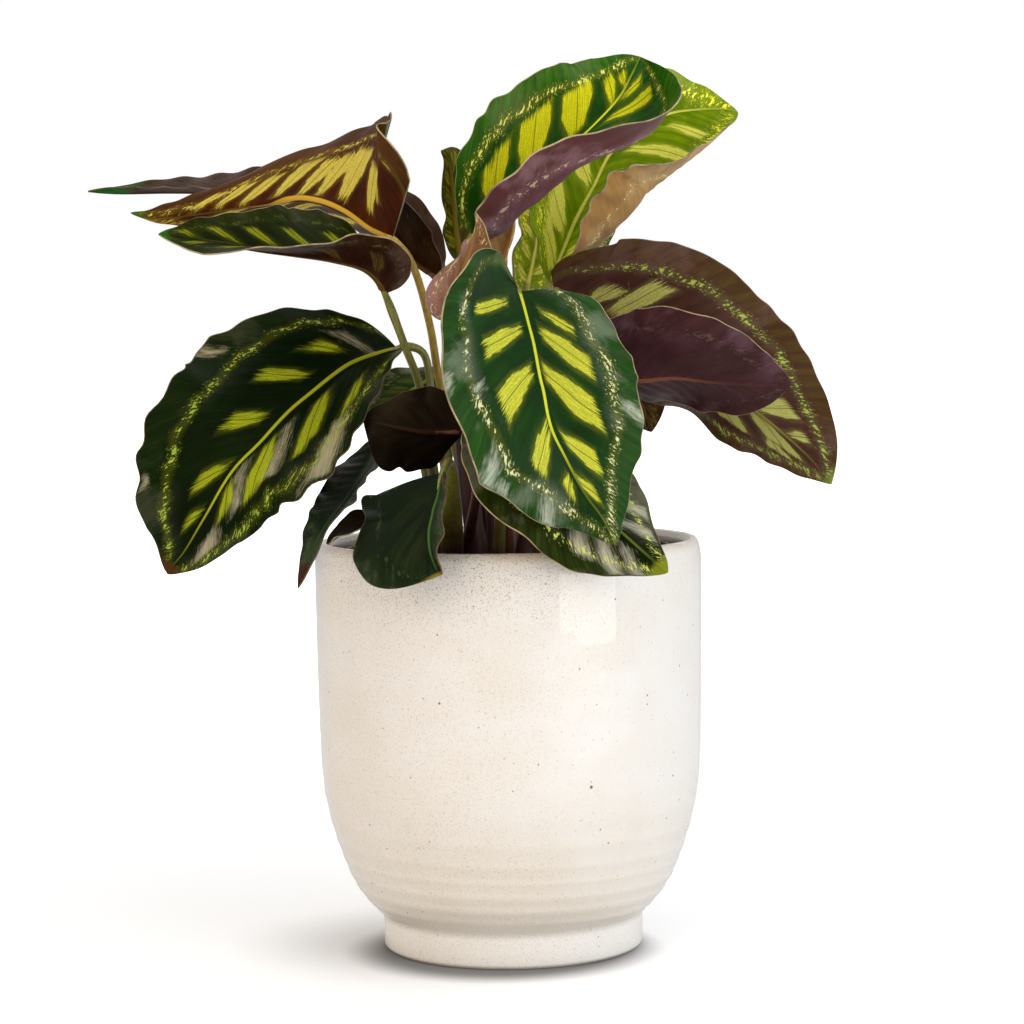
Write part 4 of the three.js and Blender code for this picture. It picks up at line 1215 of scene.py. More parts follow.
class GrowthLine:
    """Smooth line through a leaf's measured points, from its root to its tip."""

    DIVISIONS = 24

    def __init__(self, points: tuple[Point, ...]) -> None:
        """Samples the line and its length.

        Args:
            points: The measured points.
        """
        knots = np.array(points, float)
        self.spans = len(knots) - 1
        steps = [self._between(knots, i, k / self.DIVISIONS)
                 for i in range(self.spans) for k in range(self.DIVISIONS)]
        self.points = np.array([*steps, knots[-1]])
        gaps = np.linalg.norm(np.diff(self.points, axis=0), axis=1)
        self.reach = np.concatenate([[0.0], np.cumsum(gaps)])
        self.total = float(self.reach[-1])

    @staticmethod
    def _between(knots: Array, i: int, w: float) -> Array:
        """Finds a point of the centripetal curve.

        Args:
            knots: The measured points.
            i: The span between two of them.
            w: Share of the span.

        Returns:
            The point.
        """
        last = len(knots) - 1
        b, c = knots[i], knots[i + 1]
        a = knots[i - 1] if i > 0 else 2 * b - c
        d = knots[i + 2] if i + 2 <= last else 2 * c - b
        before, here, after = (float(np.dot(q - p, q - p)) ** 0.25 for p, q in ((a, b), (b, c), (c, d)))
        start = ((b - a) / before - (c - a) / (before + here) + (c - b) / here) * here
        end = ((c - b) / here - (d - b) / (here + after) + (d - c) / after) * here
        square = -3 * b + 3 * c - 2 * start - end
        cube = 2 * b - 2 * c + start + end
        return b + start * w + square * w**2 + cube * w**3

    def knot(self, index: int) -> float:
        """Returns the reach of a measured point."""
        return float(self.reach[index * self.DIVISIONS])

    def at(self, reach: Array) -> Array:
        """Returns the points at given lengths along the line."""
        place = np.clip(reach, 0, self.total)
        return np.stack([np.interp(place, self.reach, self.points[:, k]) for k in range(3)], -1)

    def heading(self, reach: Array, step: float) -> Array:
        """Returns unit tangents at given lengths along the line."""
        ahead = self.at(reach + step) - self.at(reach - step)
        return ahead / np.linalg.norm(ahead, axis=-1, keepdims=True)


def eased(values: tuple, share: Array) -> Array:
    """Eases between a blade's value at its base, middle and tip.

    Args:
        values: The three numbers or vectors.
        share: Shares of the blade's length.

    Returns:
        One value for each share.
    """
    table = np.array(values, float)
    place = np.clip(share, 0, 1) * (len(table) - 1)
    index = np.minimum(place.astype(int), len(table) - 2)
    weight = smooth(place - index)
    if table.ndim == 2:
        weight = weight[:, None]
    return table[index] * (1 - weight) + table[index + 1] * weight


def upright(vectors: Array, tangent: Array) -> Array:
    """Turns each vector upright on its tangent, at length 1."""
    square = vectors - (vectors * tangent).sum(1)[:, None] * tangent
    return square / np.linalg.norm(square, axis=1)[:, None]


class BladeForm:
    """Curved surface of a blade, sampled in rows along the rib and columns across each half."""

    STEPS = 60
    CURL_FADE = 4.0
    RIGHT_WAVE_SHIFT = 1.7
    FRILL_PITCH = 15.0
    SCALLOP_PITCH = 13.0
    PLEAT = 0.16
    PLEAT_PITCH = 6.5

    def __init__(self, leaf: Leaf, rows: int, columns: int, seed: int) -> None:
        """Samples the rib.

        Args:
            leaf: The leaf.
            rows: Rows from base to tip.
            columns: Columns on each half.
            seed: Seed of the frill and the pleats.
        """
        self.leaf = leaf
        self.line = GrowthLine(leaf.path)
        self.start = self.line.knot(len(leaf.path) - len(leaf.rib))
        self.length = self.line.total - self.start
        even = np.linspace(0, 1, rows)
        self.t = np.clip(even - 0.07 * np.sin(2 * np.pi * even), 0, 1)
        self.s = np.append(np.linspace(0, 1, columns - 1) ** 1.25 * 0.99, 1.0)
        reach = self.start + self.t * self.length
        self.centre = self.line.at(reach)
        self.tangent = self.line.heading(reach, 0.004 * self.length + 0.01)
        self.face = upright(eased(leaf.face, self.t), self.tangent)
        self.across = np.cross(self.tangent, self.face)
        self.random = np.random.default_rng(seed)
        self.swell = np.sqrt(np.clip(np.sin(np.pi * self.t), 0, None))
        self.shift = eased(leaf.rib_shift, self.t) * self.swell
        self.frills = {side: leaf.frill * self._waver(self.FRILL_PITCH) for side in Half}
        self.scallops = {side: leaf.scallop * self._waver(self.SCALLOP_PITCH) for side in Half}

    def _waver(self, pitch: float) -> Array:
        """Makes an uneven wave along the blade.

        Args:
            pitch: Its usual length in millimetres.

        Returns:
            The wave between -1 and 1, in each row.
        """
        count = max(2.0, self.length / pitch)
        phase, drift = self.random.uniform(0, 2 * np.pi, 2)
        swell = 0.55 + 0.45 * np.sin(2 * np.pi * 1.7 * self.t + drift)
        return self.swell * swell * np.sin(2 * np.pi * count * self.t + phase + 1.4 * swell)

    def _plain_width(self, side: Half) -> Array:
        """Works out the width of a half by its plain outline.

        Args:
            side: The half.

        Returns:
            The width in each row.
        """
        a, b = self.leaf.outline
        peak = (a / (a + b)) ** a * (b / (a + b)) ** b
        return self.leaf.width[side.index] * self.t**a * (1 - self.t) ** b / peak

    def _margin(self, side: Half) -> Array:
        """Returns the distance from the crease to the margin, trimmed and scalloped."""
        trim = eased(self.leaf.trim[side.index], self.t) * self.swell
        return np.maximum(self._plain_width(side) + trim + self.scallops[side], 0)

    def half_width(self, side: Half) -> Array:
        """Returns the distance from the rib to the margin in each row."""
        return self._margin(side) - side * self.shift

    def veins(self, side: Half) -> tuple[Array, ...]:
        """Follows the lateral veins of a half.

        Args:
            side: The half.

        Returns:
            Distance from the rib, reach along the vein, place of the vein on the rib, all in
            millimetres, the vein's slope and how much the veins spread, for each row and column.
        """
        a, b = self.leaf.marks.lean[side.index]
        x = self.half_width(side)[:, None] * self.s[None, :]
        spread = np.maximum(1 + b * x / self.length, 0.05)
        root = (self.t[:, None] - a * x / self.length) / spread
        slope = a + b * root
        return x, x * np.sqrt(1 + slope**2), root * self.length, slope, spread

    def _section(self, side: Half) -> tuple[Array, ...]:
        """Bends the cross-section of one half.

        Args:
            side: The half.

        Returns:
            Distance along the section, place across, height and turn, for each row and step.
        """
        leaf, which = self.leaf, side.index
        plain, margin = self._plain_width(side)[:, None], self._margin(side)[:, None]
        curl = np.radians(eased(leaf.curl[which], self.t))[:, None] * plain / (plain + self.CURL_FADE)
        fold = np.radians(eased(leaf.fold[which], self.t))[:, None]
        begin, end = leaf.roll[which]
        middle = (np.arange(self.STEPS) + 0.5) / self.STEPS * margin / np.maximum(plain, 1e-6)
        bend = fold + curl * smooth((middle - begin) / (end - begin))
        stride = margin / self.STEPS
        zero = np.zeros((len(self.t), 1))
        out = np.concatenate([zero, np.cumsum(np.cos(bend) * stride, 1)], 1)
        up = np.concatenate([zero, np.cumsum(np.sin(bend) * stride, 1)], 1)
        turn = np.concatenate([bend[:, :1], (bend[:, :-1] + bend[:, 1:]) / 2, bend[:, -1:]], 1)
        reach = np.linspace(0, 1, self.STEPS + 1)[None, :] * margin
        return side * reach, side * out, up, side * turn

    def half(self, side: Half) -> tuple[Array, Array]:
        """Shapes one half, from the rib to the margin.

        Args:
            side: The half.

        Returns:
            Points halfway through the blade's thickness and their normals.
        """
        left, right = self._section(Half.LEFT), self._section(Half.RIGHT)
        reach, out, up, turn = (np.concatenate([a[:, :0:-1], b], 1) for a, b in zip(left, right))
        turn[:, self.STEPS] = (left[3][:, 0] + right[3][:, 0]) / 2
        place = self.shift[:, None] + side * self.half_width(side)[:, None] * self.s[None, :]
        out, up, turn = (np.stack([np.interp(*rows) for rows in zip(place, reach, table)])
                         for table in (out, up, turn))
        normal = (np.cos(turn)[..., None] * self.face[:, None, :]
                  - np.sin(turn)[..., None] * self.across[:, None, :])
        height, count, phase = self.leaf.wave
        lag = phase + self.RIGHT_WAVE_SHIFT * side.index
        ripple = height * np.sin(2 * np.pi * count * self.t + lag) * self.swell
        x, _, root, _, _ = self.veins(side)
        pleat = (self.PLEAT * np.sin(2 * np.pi * root / self.PLEAT_PITCH)
                 * smooth(x / 5) * smooth((1 - self.s) / 0.25))
        lift = (ripple[:, None] * self.s**2 + pleat * self.swell[:, None]
                + self.frills[side][:, None] * smooth((self.s - 0.55) / 0.45))
        point = (self.centre[:, None, :] + out[..., None] * self.across[:, None, :]
                 + up[..., None] * self.face[:, None, :] + lift[..., None] * normal)
        return point, normal


class LeafFields:
    """Numbers that the leaf materials read at each point of a blade."""

    FAR = -20.0

    def __init__(self, form: BladeForm, seed: int) -> None:
        """Takes the sampled blade and the seed of its markings."""
        self.form = form
        self.seed = seed

    def _depth(self, side: Half, patch: Patch) -> tuple[Array, Array, Array]:
        """Measures how deep each point lies in a patch between the lateral veins.

        Args:
            side: The half.
            patch: The flame or sheen.

        Returns:
            Depth from the patch's ends, depth from its sides and distance from its axis.
        """
        share, start, end, half = patch
        form = self.form
        _, _, root, slope, spread = form.veins(side)
        stretch = np.sqrt(1 + slope**2)
        s = form.s[None, :]
        axis = (root - share * form.length) * spread / stretch
        depth = np.minimum(s - start, end - s) * form.half_width(side)[:, None] * stretch
        growth = 0.5 + 0.5 * smooth((s - start) / max(0.6 * (end - start), 0.01))
        return depth, half * growth - np.abs(axis), axis

    def _flames(self, side: Half) -> Array:
        """Measures how deep each point lies in its nearest flame.

        Args:
            side: The half.

        Returns:
            Depth from the flame's ends, depth from its sides and distance from its axis.
        """
        marks = self.form.leaf.marks
        depths = np.array([self._depth(side, patch) for patch in (marks.left, marks.right)[side.index]])
        nearest = np.minimum(depths[:, 0], depths[:, 1]).argmax(0)
        return np.take_along_axis(depths, nearest[None, None], 0)[0]

    def _painted_sheens(self, side: Half) -> Array:
        """Measures how deep each point lies in its nearest painted sheen.

        Args:
            side: The half.

        Returns:
            The depth, far below 0 where there is no painted sheen.
        """
        patches = self.form.leaf.marks.painted_sheens[side.index]
        depths = [np.minimum(*self._depth(side, patch)[:2]) for patch in patches]
        return np.max([np.full((len(self.form.t), len(self.form.s)), self.FAR), *depths], axis=0)

    def half(self, side: Half) -> dict[str, Array]:
        """Works out all fields of one half.

        Args:
            side: The half.

        Returns:
            The fields by name.
        """
        form = self.form
        x, reach, root, _, _ = form.veins(side)
        t = form.t[:, None]
        ends, flanks, axes = self._flames(side)
        ring = eased(form.leaf.marks.ring[side.index], form.t)[:, None]
        gap = (form.s[None, :] - ring) * form.half_width(side)[:, None]
        return {
            "vein_reach": reach, "vein_root": root, "flame_end": ends, "flame_side": flanks,
            "flame_axis": axes, "ring_gap": gap,
            "ring_share": smooth(t / 0.06) * smooth((1 - t) / 0.05) * np.ones_like(gap),
            "rib_gap": x / (1.05 * (1 - t) ** 0.7 + 0.25),
            "leaf_seed": np.full_like(gap, float(self.seed + 3 * side)),
            # The painted sheen depth places pale patches that stand in for light caught on the blade.
            "sheen_depth": self._painted_sheens(side), "blade_share": np.broadcast_to(t, gap.shape),
        }


def add_field(mesh: Mesh, name: str, values: Array) -> None:
    """Stores one number for each point of a mesh."""
    layer = mesh.attributes.new(name, "FLOAT", "POINT")
    layer.data.foreach_set("value", np.ascontiguousarray(values, dtype=np.float32))


class LeafBuilder:
    """Builds one leaf: its blade as a mesh and its stalk as a swept line."""

    THICKNESS = 0.8
    MARGIN_THICKNESS = 0.6
    UNDER_BLADE = 14.0
    SUNK = 0.7
    STALK_POINTS = 72
    NECK_RADIUS = 1.7
    END_RADIUS = 0.9
    JOINT_BELOW = 9.0
    CREST = 0.28
    GROOVE = 0.2
    KEEL = 1.5

    def __init__(self, leaf: Leaf, seed: int) -> None:
        """Samples the leaf.

        Args:
            leaf: The leaf.
            seed: Its seed.
        """
        self.leaf = leaf
        rows, columns = (132, 30) if leaf.fine else (72, 18)
        self.form = BladeForm(leaf, rows, columns, seed)
        self.fields = LeafFields(self.form, seed)

    def _stalk(self) -> tuple[Array, Array, Array]:
        """Lays out the stalk's line.

        Returns:
            Its points and radii in millimetres and its shares from 0 at the root to 1.
        """
        form = self.form
        share = np.linspace(0, 1, self.STALK_POINTS)
        reach = share * (form.start + self.UNDER_BLADE)
        centre = form.line.at(reach)
        face = upright(np.array(self.leaf.face[0], float)[None, :], form.line.heading(reach, 0.3))
        sunk = smooth((reach - form.start) / (self.UNDER_BLADE / 2))
        centre -= face * (sunk * self.SUNK)[:, None]
        base, held = self.leaf.sheath
        neck = base + (self.NECK_RADIUS - base) * smooth((share - held) / (0.71 - 0.5 * held))
        radius = neck + (self.END_RADIUS - neck) * smooth((share - 0.85) / 0.15)
        joint = np.exp(-(((reach - (form.start - self.JOINT_BELOW)) / 5.0) ** 2))
        return centre, radius * (1 + 0.12 * joint), share

    @staticmethod
    def _join(left: Array, right: Array) -> Array:
        """Joins both halves' columns, from the left margin to the right."""
        return np.concatenate([left[:, :0:-1], right], axis=1)

    def _grids(self) -> tuple[Array, Array, dict[str, Array], Array]:
        """Joins both halves.

        Returns:
            The upper points, the lower points, the fields and the signed place across, each for
            every row and all columns from the left margin to the right.
        """
        form = self.form
        point, normal = map(self._join, form.half(Half.LEFT), form.half(Half.RIGHT))
        left, right = self.fields.half(Half.LEFT), self.fields.half(Half.RIGHT)
        merged = {name: self._join(table, right[name]) for name, table in left.items()}
        distance = self._join(form.veins(Half.LEFT)[0], form.veins(Half.RIGHT)[0])
        signed = self._join(-form.s[None, :], form.s[None, :])
        thinned = smooth((np.abs(signed) - 0.5) / 0.5)
        half = (self.THICKNESS + (self.MARGIN_THICKNESS - self.THICKNESS) * thinned) / 2
        t = form.t[:, None]
        rib = 0.9 * (1 - t) ** 0.7 + 0.35
        crest = self.CREST * np.exp(-((distance / rib) ** 2))
        crest -= self.GROOVE * np.exp(-(((distance - 2.0 * rib) / rib) ** 2))
        keel = (self.KEEL * (1 - t) + 0.2) * np.exp(-((distance / (1.5 * rib)) ** 2))
        fade = smooth(t / 0.03) * smooth((1 - t) / 0.03)
        upper = point + normal * (half + crest * fade)[..., None]
        lower = point - normal * (half + keel * fade)[..., None]
        return upper, lower, merged, signed[0]

    def _blade(self) -> tuple[Array, list[tuple[int, ...]], list[int], dict[str, Array], Array]:
        """Closes the blade.

        Returns:
            Points, faces, the material number of each face, the fields and each point's
            (share along, signed share across).
        """
        upper, lower, fields, signed = self._grids()
        rows, columns, _ = upper.shape
        middle = columns // 2
        kept = np.ones((rows, columns), bool)
        kept[0] = kept[-1] = False
        kept[0, middle] = kept[-1, middle] = True
        number = np.cumsum(kept.ravel()).reshape(kept.shape) - 1
        number[0, :] = number[0, middle]
        number[-1, :] = number[-1, middle]
        count = int(kept.sum())
        points = np.concatenate([upper[kept], lower[kept]])
        flat = {name: np.tile(table[kept], 2) for name, table in fields.items()}
        along = np.broadcast_to(self.form.t[:, None], kept.shape)[kept]
        over = np.broadcast_to(signed[None, :], kept.shape)[kept]
        place = np.tile(np.stack([along, over], 1), (2, 1))
        faces: list[tuple[int, ...]] = []
        kinds: list[int] = []
        for i in range(rows - 1):
            for j in range(columns - 1):
                ring = [number[i, j], number[i, j + 1], number[i + 1, j + 1], number[i + 1, j]]
                loop = tuple(int(v) for v in dict.fromkeys(ring))
                rim = j in (0, columns - 2)
                faces += [loop, tuple(v + count for v in reversed(loop))]
                kinds += [2, 2] if rim else [0, 1]
            for j, order in ((0, 1), (columns - 1, -1)):
                a, b = int(number[i, j]), int(number[i + 1, j])
                faces.append((a, b, b + count, a + count)[::order])
                kinds.append(2)
        return points, faces, kinds, flat, place

    def build(self, materials: list[Material], tree: Tree) -> Object:
        """Makes the leaf's piece.

        Args:
            materials: Materials of the upper face, the underside, the margin and the stalk.
            tree: The tree that sweeps the stalk.

        Returns:
            The piece, which stands for the CAD leaf.
        """
        points, faces, kinds, fields, place = self._blade()
        stalk, radii, shares = self._stalk()
        first = len(points)
        edges = [(first + k, first + k + 1) for k in range(len(stalk) - 1)]
        mesh = bpy.data.meshes.new(f"{self.leaf.name}_blade")
        mesh.from_pydata((np.concatenate([points, stalk]) * MM).tolist(), edges, faces)
        for name, values in fields.items():
            add_field(mesh, name, np.concatenate([values, np.zeros(len(stalk))]))
        add_field(mesh, "stalk_radius", np.concatenate([np.zeros(first), radii * MM]))
        add_field(mesh, "stalk_share", np.concatenate([np.full(first, -1.0), shares]))
        layer = mesh.uv_layers.new(name="LeafUV")
        corners = np.empty(len(mesh.loops), int)
        mesh.loops.foreach_get("vertex_index", corners)
        flat = np.stack([place[corners, 0], 0.5 + 0.5 * place[corners, 1]], 1)
        layer.data.foreach_set("uv", flat.astype(np.float32).ravel())
        for material in materials[:3]:
            mesh.materials.append(material)
        mesh.polygons.foreach_set("material_index", kinds)
        mesh.polygons.foreach_set("use_smooth", [True] * len(faces))
        return grown(f"grown_{self.leaf.name}", mesh, tree, {"Material": materials[3]})


def grown(name: str, mesh: Mesh, tree: Tree, values: dict[str, object]) -> Object:
    """Runs a Geometry Nodes tree on a mesh and keeps the result as a plain piece.

    Args:
        name: The piece's name.
        mesh: The mesh that goes in.
        tree: The tree.
        values: The tree's inputs by name.

    Returns:
        The piece, without its modifier.
    """
    piece = bpy.data.objects.new(name, mesh)
    bpy.context.scene.collection.objects.link(piece)
    modifier = piece.modifiers.new(tree.name, "NODES")
    modifier.node_group = tree
    for item in tree.interface.items_tree:
        if item.item_type == "SOCKET" and item.in_out == "INPUT" and item.name in values:
            modifier[item.identifier] = values[item.name]
    graph = bpy.context.evaluated_depsgraph_get()
    result = bpy.data.meshes.new_from_object(piece.evaluated_get(graph),
                                             preserve_all_data_layers=True, depsgraph=graph)
    piece.modifiers.remove(modifier)
    piece.data = result
    result.name = name
    bpy.data.meshes.remove(mesh)
    if enclosed(result) < 0:
        result.flip_normals()
    LOG.info("%s: %d faces", name, len(result.polygons))
    return piece


def enclosed(mesh: Mesh) -> float:
    """Measures the signed volume inside a mesh.

    Args:
        mesh: The mesh.

    Returns:
        The volume, above 0 where the faces point outwards.
    """
    shell = bmesh.new()
    shell.from_mesh(mesh)
    volume = shell.calc_volume(signed=True)
    shell.free()
    return volume


# Geometry Nodes trees


class SweepTree:
    """Sweeps a round section along loose edges, as wide as the edges' stalk_radius says."""

    SIDES = 16
    THINNEST = 1e-6

    @classmethod
    def build(cls) -> Tree:
        """Builds the tree.

        Returns:
            The tree, with inputs Geometry and Material.
        """
        w = GrowthWriter("stalk_sweep", {})
        radius = w.stored("stalk_radius")
        on_line = w.maths("GREATER_THAN", radius, cls.THINNEST)
        split = w.add("GeometryNodeSeparateGeometry",
                      {"Geometry": w.given("Geometry"), "Selection": on_line}, domain="POINT")
        line = w.add("GeometryNodeMeshToCurve", {"Mesh": split.outputs["Selection"]})
        section = w.add("GeometryNodeCurvePrimitiveCircle", {"Resolution": cls.SIDES, "Radius": 1.0})
        sweep = w.add("GeometryNodeCurveToMesh", {"Curve": line, "Profile Curve": section,
                                                  "Scale": radius, "Fill Caps": True})
        shade = w.add("GeometryNodeSetShadeSmooth", {"Geometry": sweep})
        join = w.add("GeometryNodeJoinGeometry", {0: w.painted(shade)})
        w.feed(join.inputs[0], split.outputs["Inverted"])
        return w.finished(join, Selection=w.maths("GREATER_THAN", w.stored("stalk_share"), -0.5))


class TurnedTree:
    """Turns a profile about the upright axis, with a spiral of throwing ridges on its wall."""

    AXLE = 0.0005
    SAME_PLACE = 2e-6
    SWAY_SCALE = (14.0, 14.0, 60.0)

    @classmethod
    def build(cls) -> Tree:
        """Builds the tree.

        Returns:
            The tree, with inputs Geometry, Material, Turns and Unevenness.
        """
        w = GrowthWriter("turned_vessel", {"Turns": 192, "Unevenness": 0.0})
        line = w.add("GeometryNodeMeshToCurve", {"Mesh": w.given("Geometry")})
        axle = w.add("GeometryNodeCurvePrimitiveCircle",
                     {"Resolution": w.given("Turns"), "Radius": cls.AXLE})
        turn = w.add("GeometryNodeCurveToMesh", {"Curve": axle, "Profile Curve": line})
        merge = w.add("GeometryNodeMergeByDistance", {"Geometry": turn, "Distance": cls.SAME_PLACE})
        place = w.add("GeometryNodeInputPosition")
        x, y, _ = w.split(place)
        height = w.stored("ridge_height")
        phase = w.times(w.stored("ridge_phase"), 2 * math.pi)
        wave = w.maths("COSINE", w.plus(phase, w.maths("ARCTAN2", y, x)))
        sway = w.noise(w.vector("MULTIPLY", place, cls.SWAY_SCALE), 1.0)
        ridge = w.times(w.plus(wave, w.times(sway, 0.6)), height)
        depth = w.plus(ridge, w.swing(sway, w.given("Unevenness")))
        outward = w.vector("NORMALIZE", w.combine(x, y, 0.0))
        push = w.add("ShaderNodeVectorMath", {0: outward, "Scale": w.times(depth, MM)}, operation="SCALE")
        crest = w.times(w.ease(wave, 0.3, 1.0), w.ease(height, 0.05, 0.35))
        thin = w.maths("MAXIMUM", crest, w.stored("rim_share"))
        store = w.add("GeometryNodeStoreNamedAttribute",
                      {"Geometry": merge, "Name": "glaze_thin", "Value": thin},
                      data_type="FLOAT", domain="POINT")
        move = w.add("GeometryNodeSetPosition", {"Geometry": store, "Offset": push})
        return w.finished(w.add("GeometryNodeSetShadeSmooth", {"Geometry": move}))


class CrumbTree:
    """Scatters uneven crumbs over the upper faces of a mesh."""

    RADIUS = 0.5 * MM
    SMALLEST = (0.8, 0.8, 0.6)
    LARGEST = (2.9, 2.4, 1.8)
    TURN = (0.8, 0.8, 2 * math.pi)

    @classmethod
    def build(cls) -> Tree:
        """Builds the tree.

        Returns:
            The tree, with inputs Geometry, Material, Density and Seed.
        """
        w = GrowthWriter("scattered_crumbs", {"Density": 150000.0, "Seed": 3})
        seed = w.given("Seed")
        spread = w.add("GeometryNodeDistributePointsOnFaces",
                       {"Mesh": w.given("Geometry"), "Density": w.given("Density"), "Seed": seed})
        crumb = w.add("GeometryNodeMeshIcoSphere", {"Radius": cls.RADIUS, "Subdivisions": 1})
        size = w.add("FunctionNodeRandomValue", {"Min": cls.SMALLEST, "Max": cls.LARGEST, "Seed": seed},
                     data_type="FLOAT_VECTOR")
        turn = w.add("FunctionNodeRandomValue", {"Max": cls.TURN, "Seed": w.plus(seed, 1.0)},
                     data_type="FLOAT_VECTOR")
        tone = w.add("FunctionNodeRandomValue", {"Seed": w.plus(seed, 2.0)}, data_type="FLOAT")
        place = w.add("GeometryNodeInstanceOnPoints", {"Points": spread.outputs["Points"],
                                                       "Instance": crumb, "Rotation": turn, "Scale": size})
        return w.finished(w.add("GeometryNodeStoreNamedAttribute",
                                {"Geometry": place, "Name": "crumb_tone", "Value": tone.outputs[1]},
                                data_type="FLOAT", domain="INSTANCE"))


# Sub-assemblies


@dataclass
class Kit:
    """What all sub-assemblies share."""

    groups: ShaderGroups = field(default_factory=ShaderGroups)
    sweep: Tree = field(default_factory=SweepTree.build)
    turned: Tree = field(default_factory=TurnedTree.build)
    crumbs: Tree = field(default_factory=CrumbTree.build)
    made: dict[str, Material] = field(default_factory=dict)

    def material(self, finish: Finish) -> Material:
        """Returns a finish's material.

        Args:
            finish: The finish.

        Returns:
            The material, built the first time it is asked for.
        """
        if finish.name not in self.made:
            self.made[finish.name] = finish.build(self.groups)
        return self.made[finish.name]


def declare(piece: Object, slot: str, *nodes: str) -> Object:
    """Ties a piece to the frame.

    Args:
        piece: The piece.
        slot: Its material slot; not used.
        nodes: CAD nodes that it stands for.

    Returns:
        The piece.
    """
    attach(piece, BODY)
    if nodes:
        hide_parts(*nodes)
    return piece


@dataclass
class Foliage:
    """The calathea's leaves and stalks."""

    kit: Kit
    leaves: tuple[Leaf, ...] = LEAVES
    seed_step: int = 17

    def build(self) -> None:
        """Builds every leaf in place of its CAD node."""
        for number, leaf in enumerate(self.leaves):
            finishes = (leaf.top.value, leaf.under.value, leaf.rim.value, leaf.stem.value)
            materials = [self.kit.material(finish) for finish in finishes]
            piece = LeafBuilder(leaf, SEED + self.seed_step * number).build(materials, self.kit.sweep)
            declare(piece, leaf.look.value, leaf.name)


class Profile:
    """Closed outline of a vessel from its axis outside, over the rim and back inside."""

    CORNER_POINTS = 6

    def __init__(self, table: Array, spacing: float) -> None:
        """Rounds the corners and fills in points.

        Args:
            table: Radius, level and rounding of each station.
            spacing: Largest gap between the points that are made.
        """
        corners = table[:, :2]
        path = [corners[0]]
        for before, here, after, rounding in zip(corners, corners[1:], corners[2:], table[1:, 2]):
            path.extend(self._corner(before, here, after, rounding))
        path.append(corners[-1])
        dense = [path[0]]
        for a, b in zip(path, path[1:]):
            steps = max(1, math.ceil(float(np.linalg.norm(b - a)) / spacing))
            dense.extend(a + (b - a) * k / steps for k in range(1, steps + 1))
        self.points = np.array(dense)

    def _corner(self, before: Array, here: Array, after: Array, rounding: float) -> list[Array]:
        """Rounds one corner within the reach that its neighbours leave.

        Args:
            before: The station before it.
            here: The corner.
            after: The station after it.
            rounding: How far from the corner the round begins.

        Returns:
            The round's points.
        """
        if rounding <= 0:
            return [here]
        back, ahead = before - here, after - here
        lengths = np.linalg.norm(back), np.linalg.norm(ahead)
        reach = min(rounding, 0.45 * lengths[0], 0.45 * lengths[1])
        start, end = here + back / lengths[0] * reach, here + ahead / lengths[1] * reach
        shares = np.linspace(0, 1, self.CORNER_POINTS)
        return [(1 - w) ** 2 * start + 2 * w * (1 - w) * here + w**2 * end for w in shares]


@dataclass
class Vessel:
    """A turned vessel, whose ridges are levels and heights in millimetres."""

    kit: Kit
    name: str
    node: str
    slot: str
    finish: Finish
    stations: Array
    spacing: float = 1.5
    turns: int = 192
    ridges: tuple[Pair, ...] = ()
    unevenness: float = 0.0
    rim_band: float = 0.0

    def _ridges(self, profile: Array) -> tuple[Array, Array]:
        """Spreads the measured ridges over the outer wall.

        Args:
            profile: Radii and levels of the profile's points.

        Returns:
            The phase and the height of the ridges at each point.
        """
        if not self.ridges:
            return np.zeros(len(profile)), np.zeros(len(profile))
        levels, heights = np.array(self.ridges).T
        level = profile[:, 1]
        outer = np.arange(len(profile)) < int(level.argmax())
        phase = np.interp(level, levels, np.arange(len(levels)))
        return phase, np.where(outer & (level > levels[0]), np.interp(level, levels, heights), 0)

    def build(self) -> Object:
        """Turns the vessel and ties it to its CAD node.

        Returns:
            The piece.
        """
        profile = Profile(self.stations, self.spacing).points
        phase, height = self._ridges(profile)
        top = profile[:, 1].max()
        rim = smooth((profile[:, 1] - top + self.rim_band) / max(self.rim_band, 0.1))
        mesh = bpy.data.meshes.new(f"{self.name}_profile")
        places = [(r * MM - TurnedTree.AXLE, -z * MM, 0.0) for r, z in profile]
        mesh.from_pydata(places, [(k, k + 1) for k in range(len(places) - 1)], [])
        add_field(mesh, "ridge_phase", phase)
        add_field(mesh, "ridge_height", height)
        add_field(mesh, "rim_share", rim * (self.rim_band > 0))
        values = {"Material": self.kit.material(self.finish), "Turns": self.turns,
                  "Unevenness": self.unevenness}
        return declare(grown(self.name, mesh, self.kit.turned, values), self.slot, self.node)


def stations(rows: str) -> Array:
    """Reads a profile's stations, written as radius level rounding in millimetres."""
    return np.array(rows.split(), float).reshape(-1, 3)


PLANTER_STATIONS = stations("""
    0 0 0  55.8 0 0.6  57.3 1.5 0.8  57.3 13.6 1.2  58.2 15.6 1.5  62 19.5 4  67.3 25.6 6
    71.5 33 7  74.6 41 8  77.6 49.5 8  80.2 58.5 8  82.4 69 9  83.7 82 10  84.3 105 12
    84.8 140 14  85 172 5  84.1 177.4 3  82.6 180 1.5  80.4 180 1.5  78.9 177.4 3
    78 170 6  77 110 20  75.6 75 14  71 50 12  64 34 8  55 21 6  50 12 3  0 12 0
""")
PLANTER_RIDGES = ((17.0, 0.0), (19.0, 0.14), (25.0, 0.17), (31.0, 0.18), (38.0, 0.17), (44.5, 0.15),
                  (53.0, 0.14), (64.0, 0.09), (76.0, 0.06), (90.0, 0.04), (106.0, 0.03), (124.0, 0.02),
                  (144.0, 0.02), (166.0, 0.0))
NURSERY_STATIONS = stations("""
    0 12.3 0  46 12.3 1  69 167.3 0.6  72 168.1 0.5  72 176.3 0.7  70.4 176.3 0.5
    70.4 169.7 0.6  67.4 168.9 0.6  44.4 13.9 0.8  0 13.9 0
""")


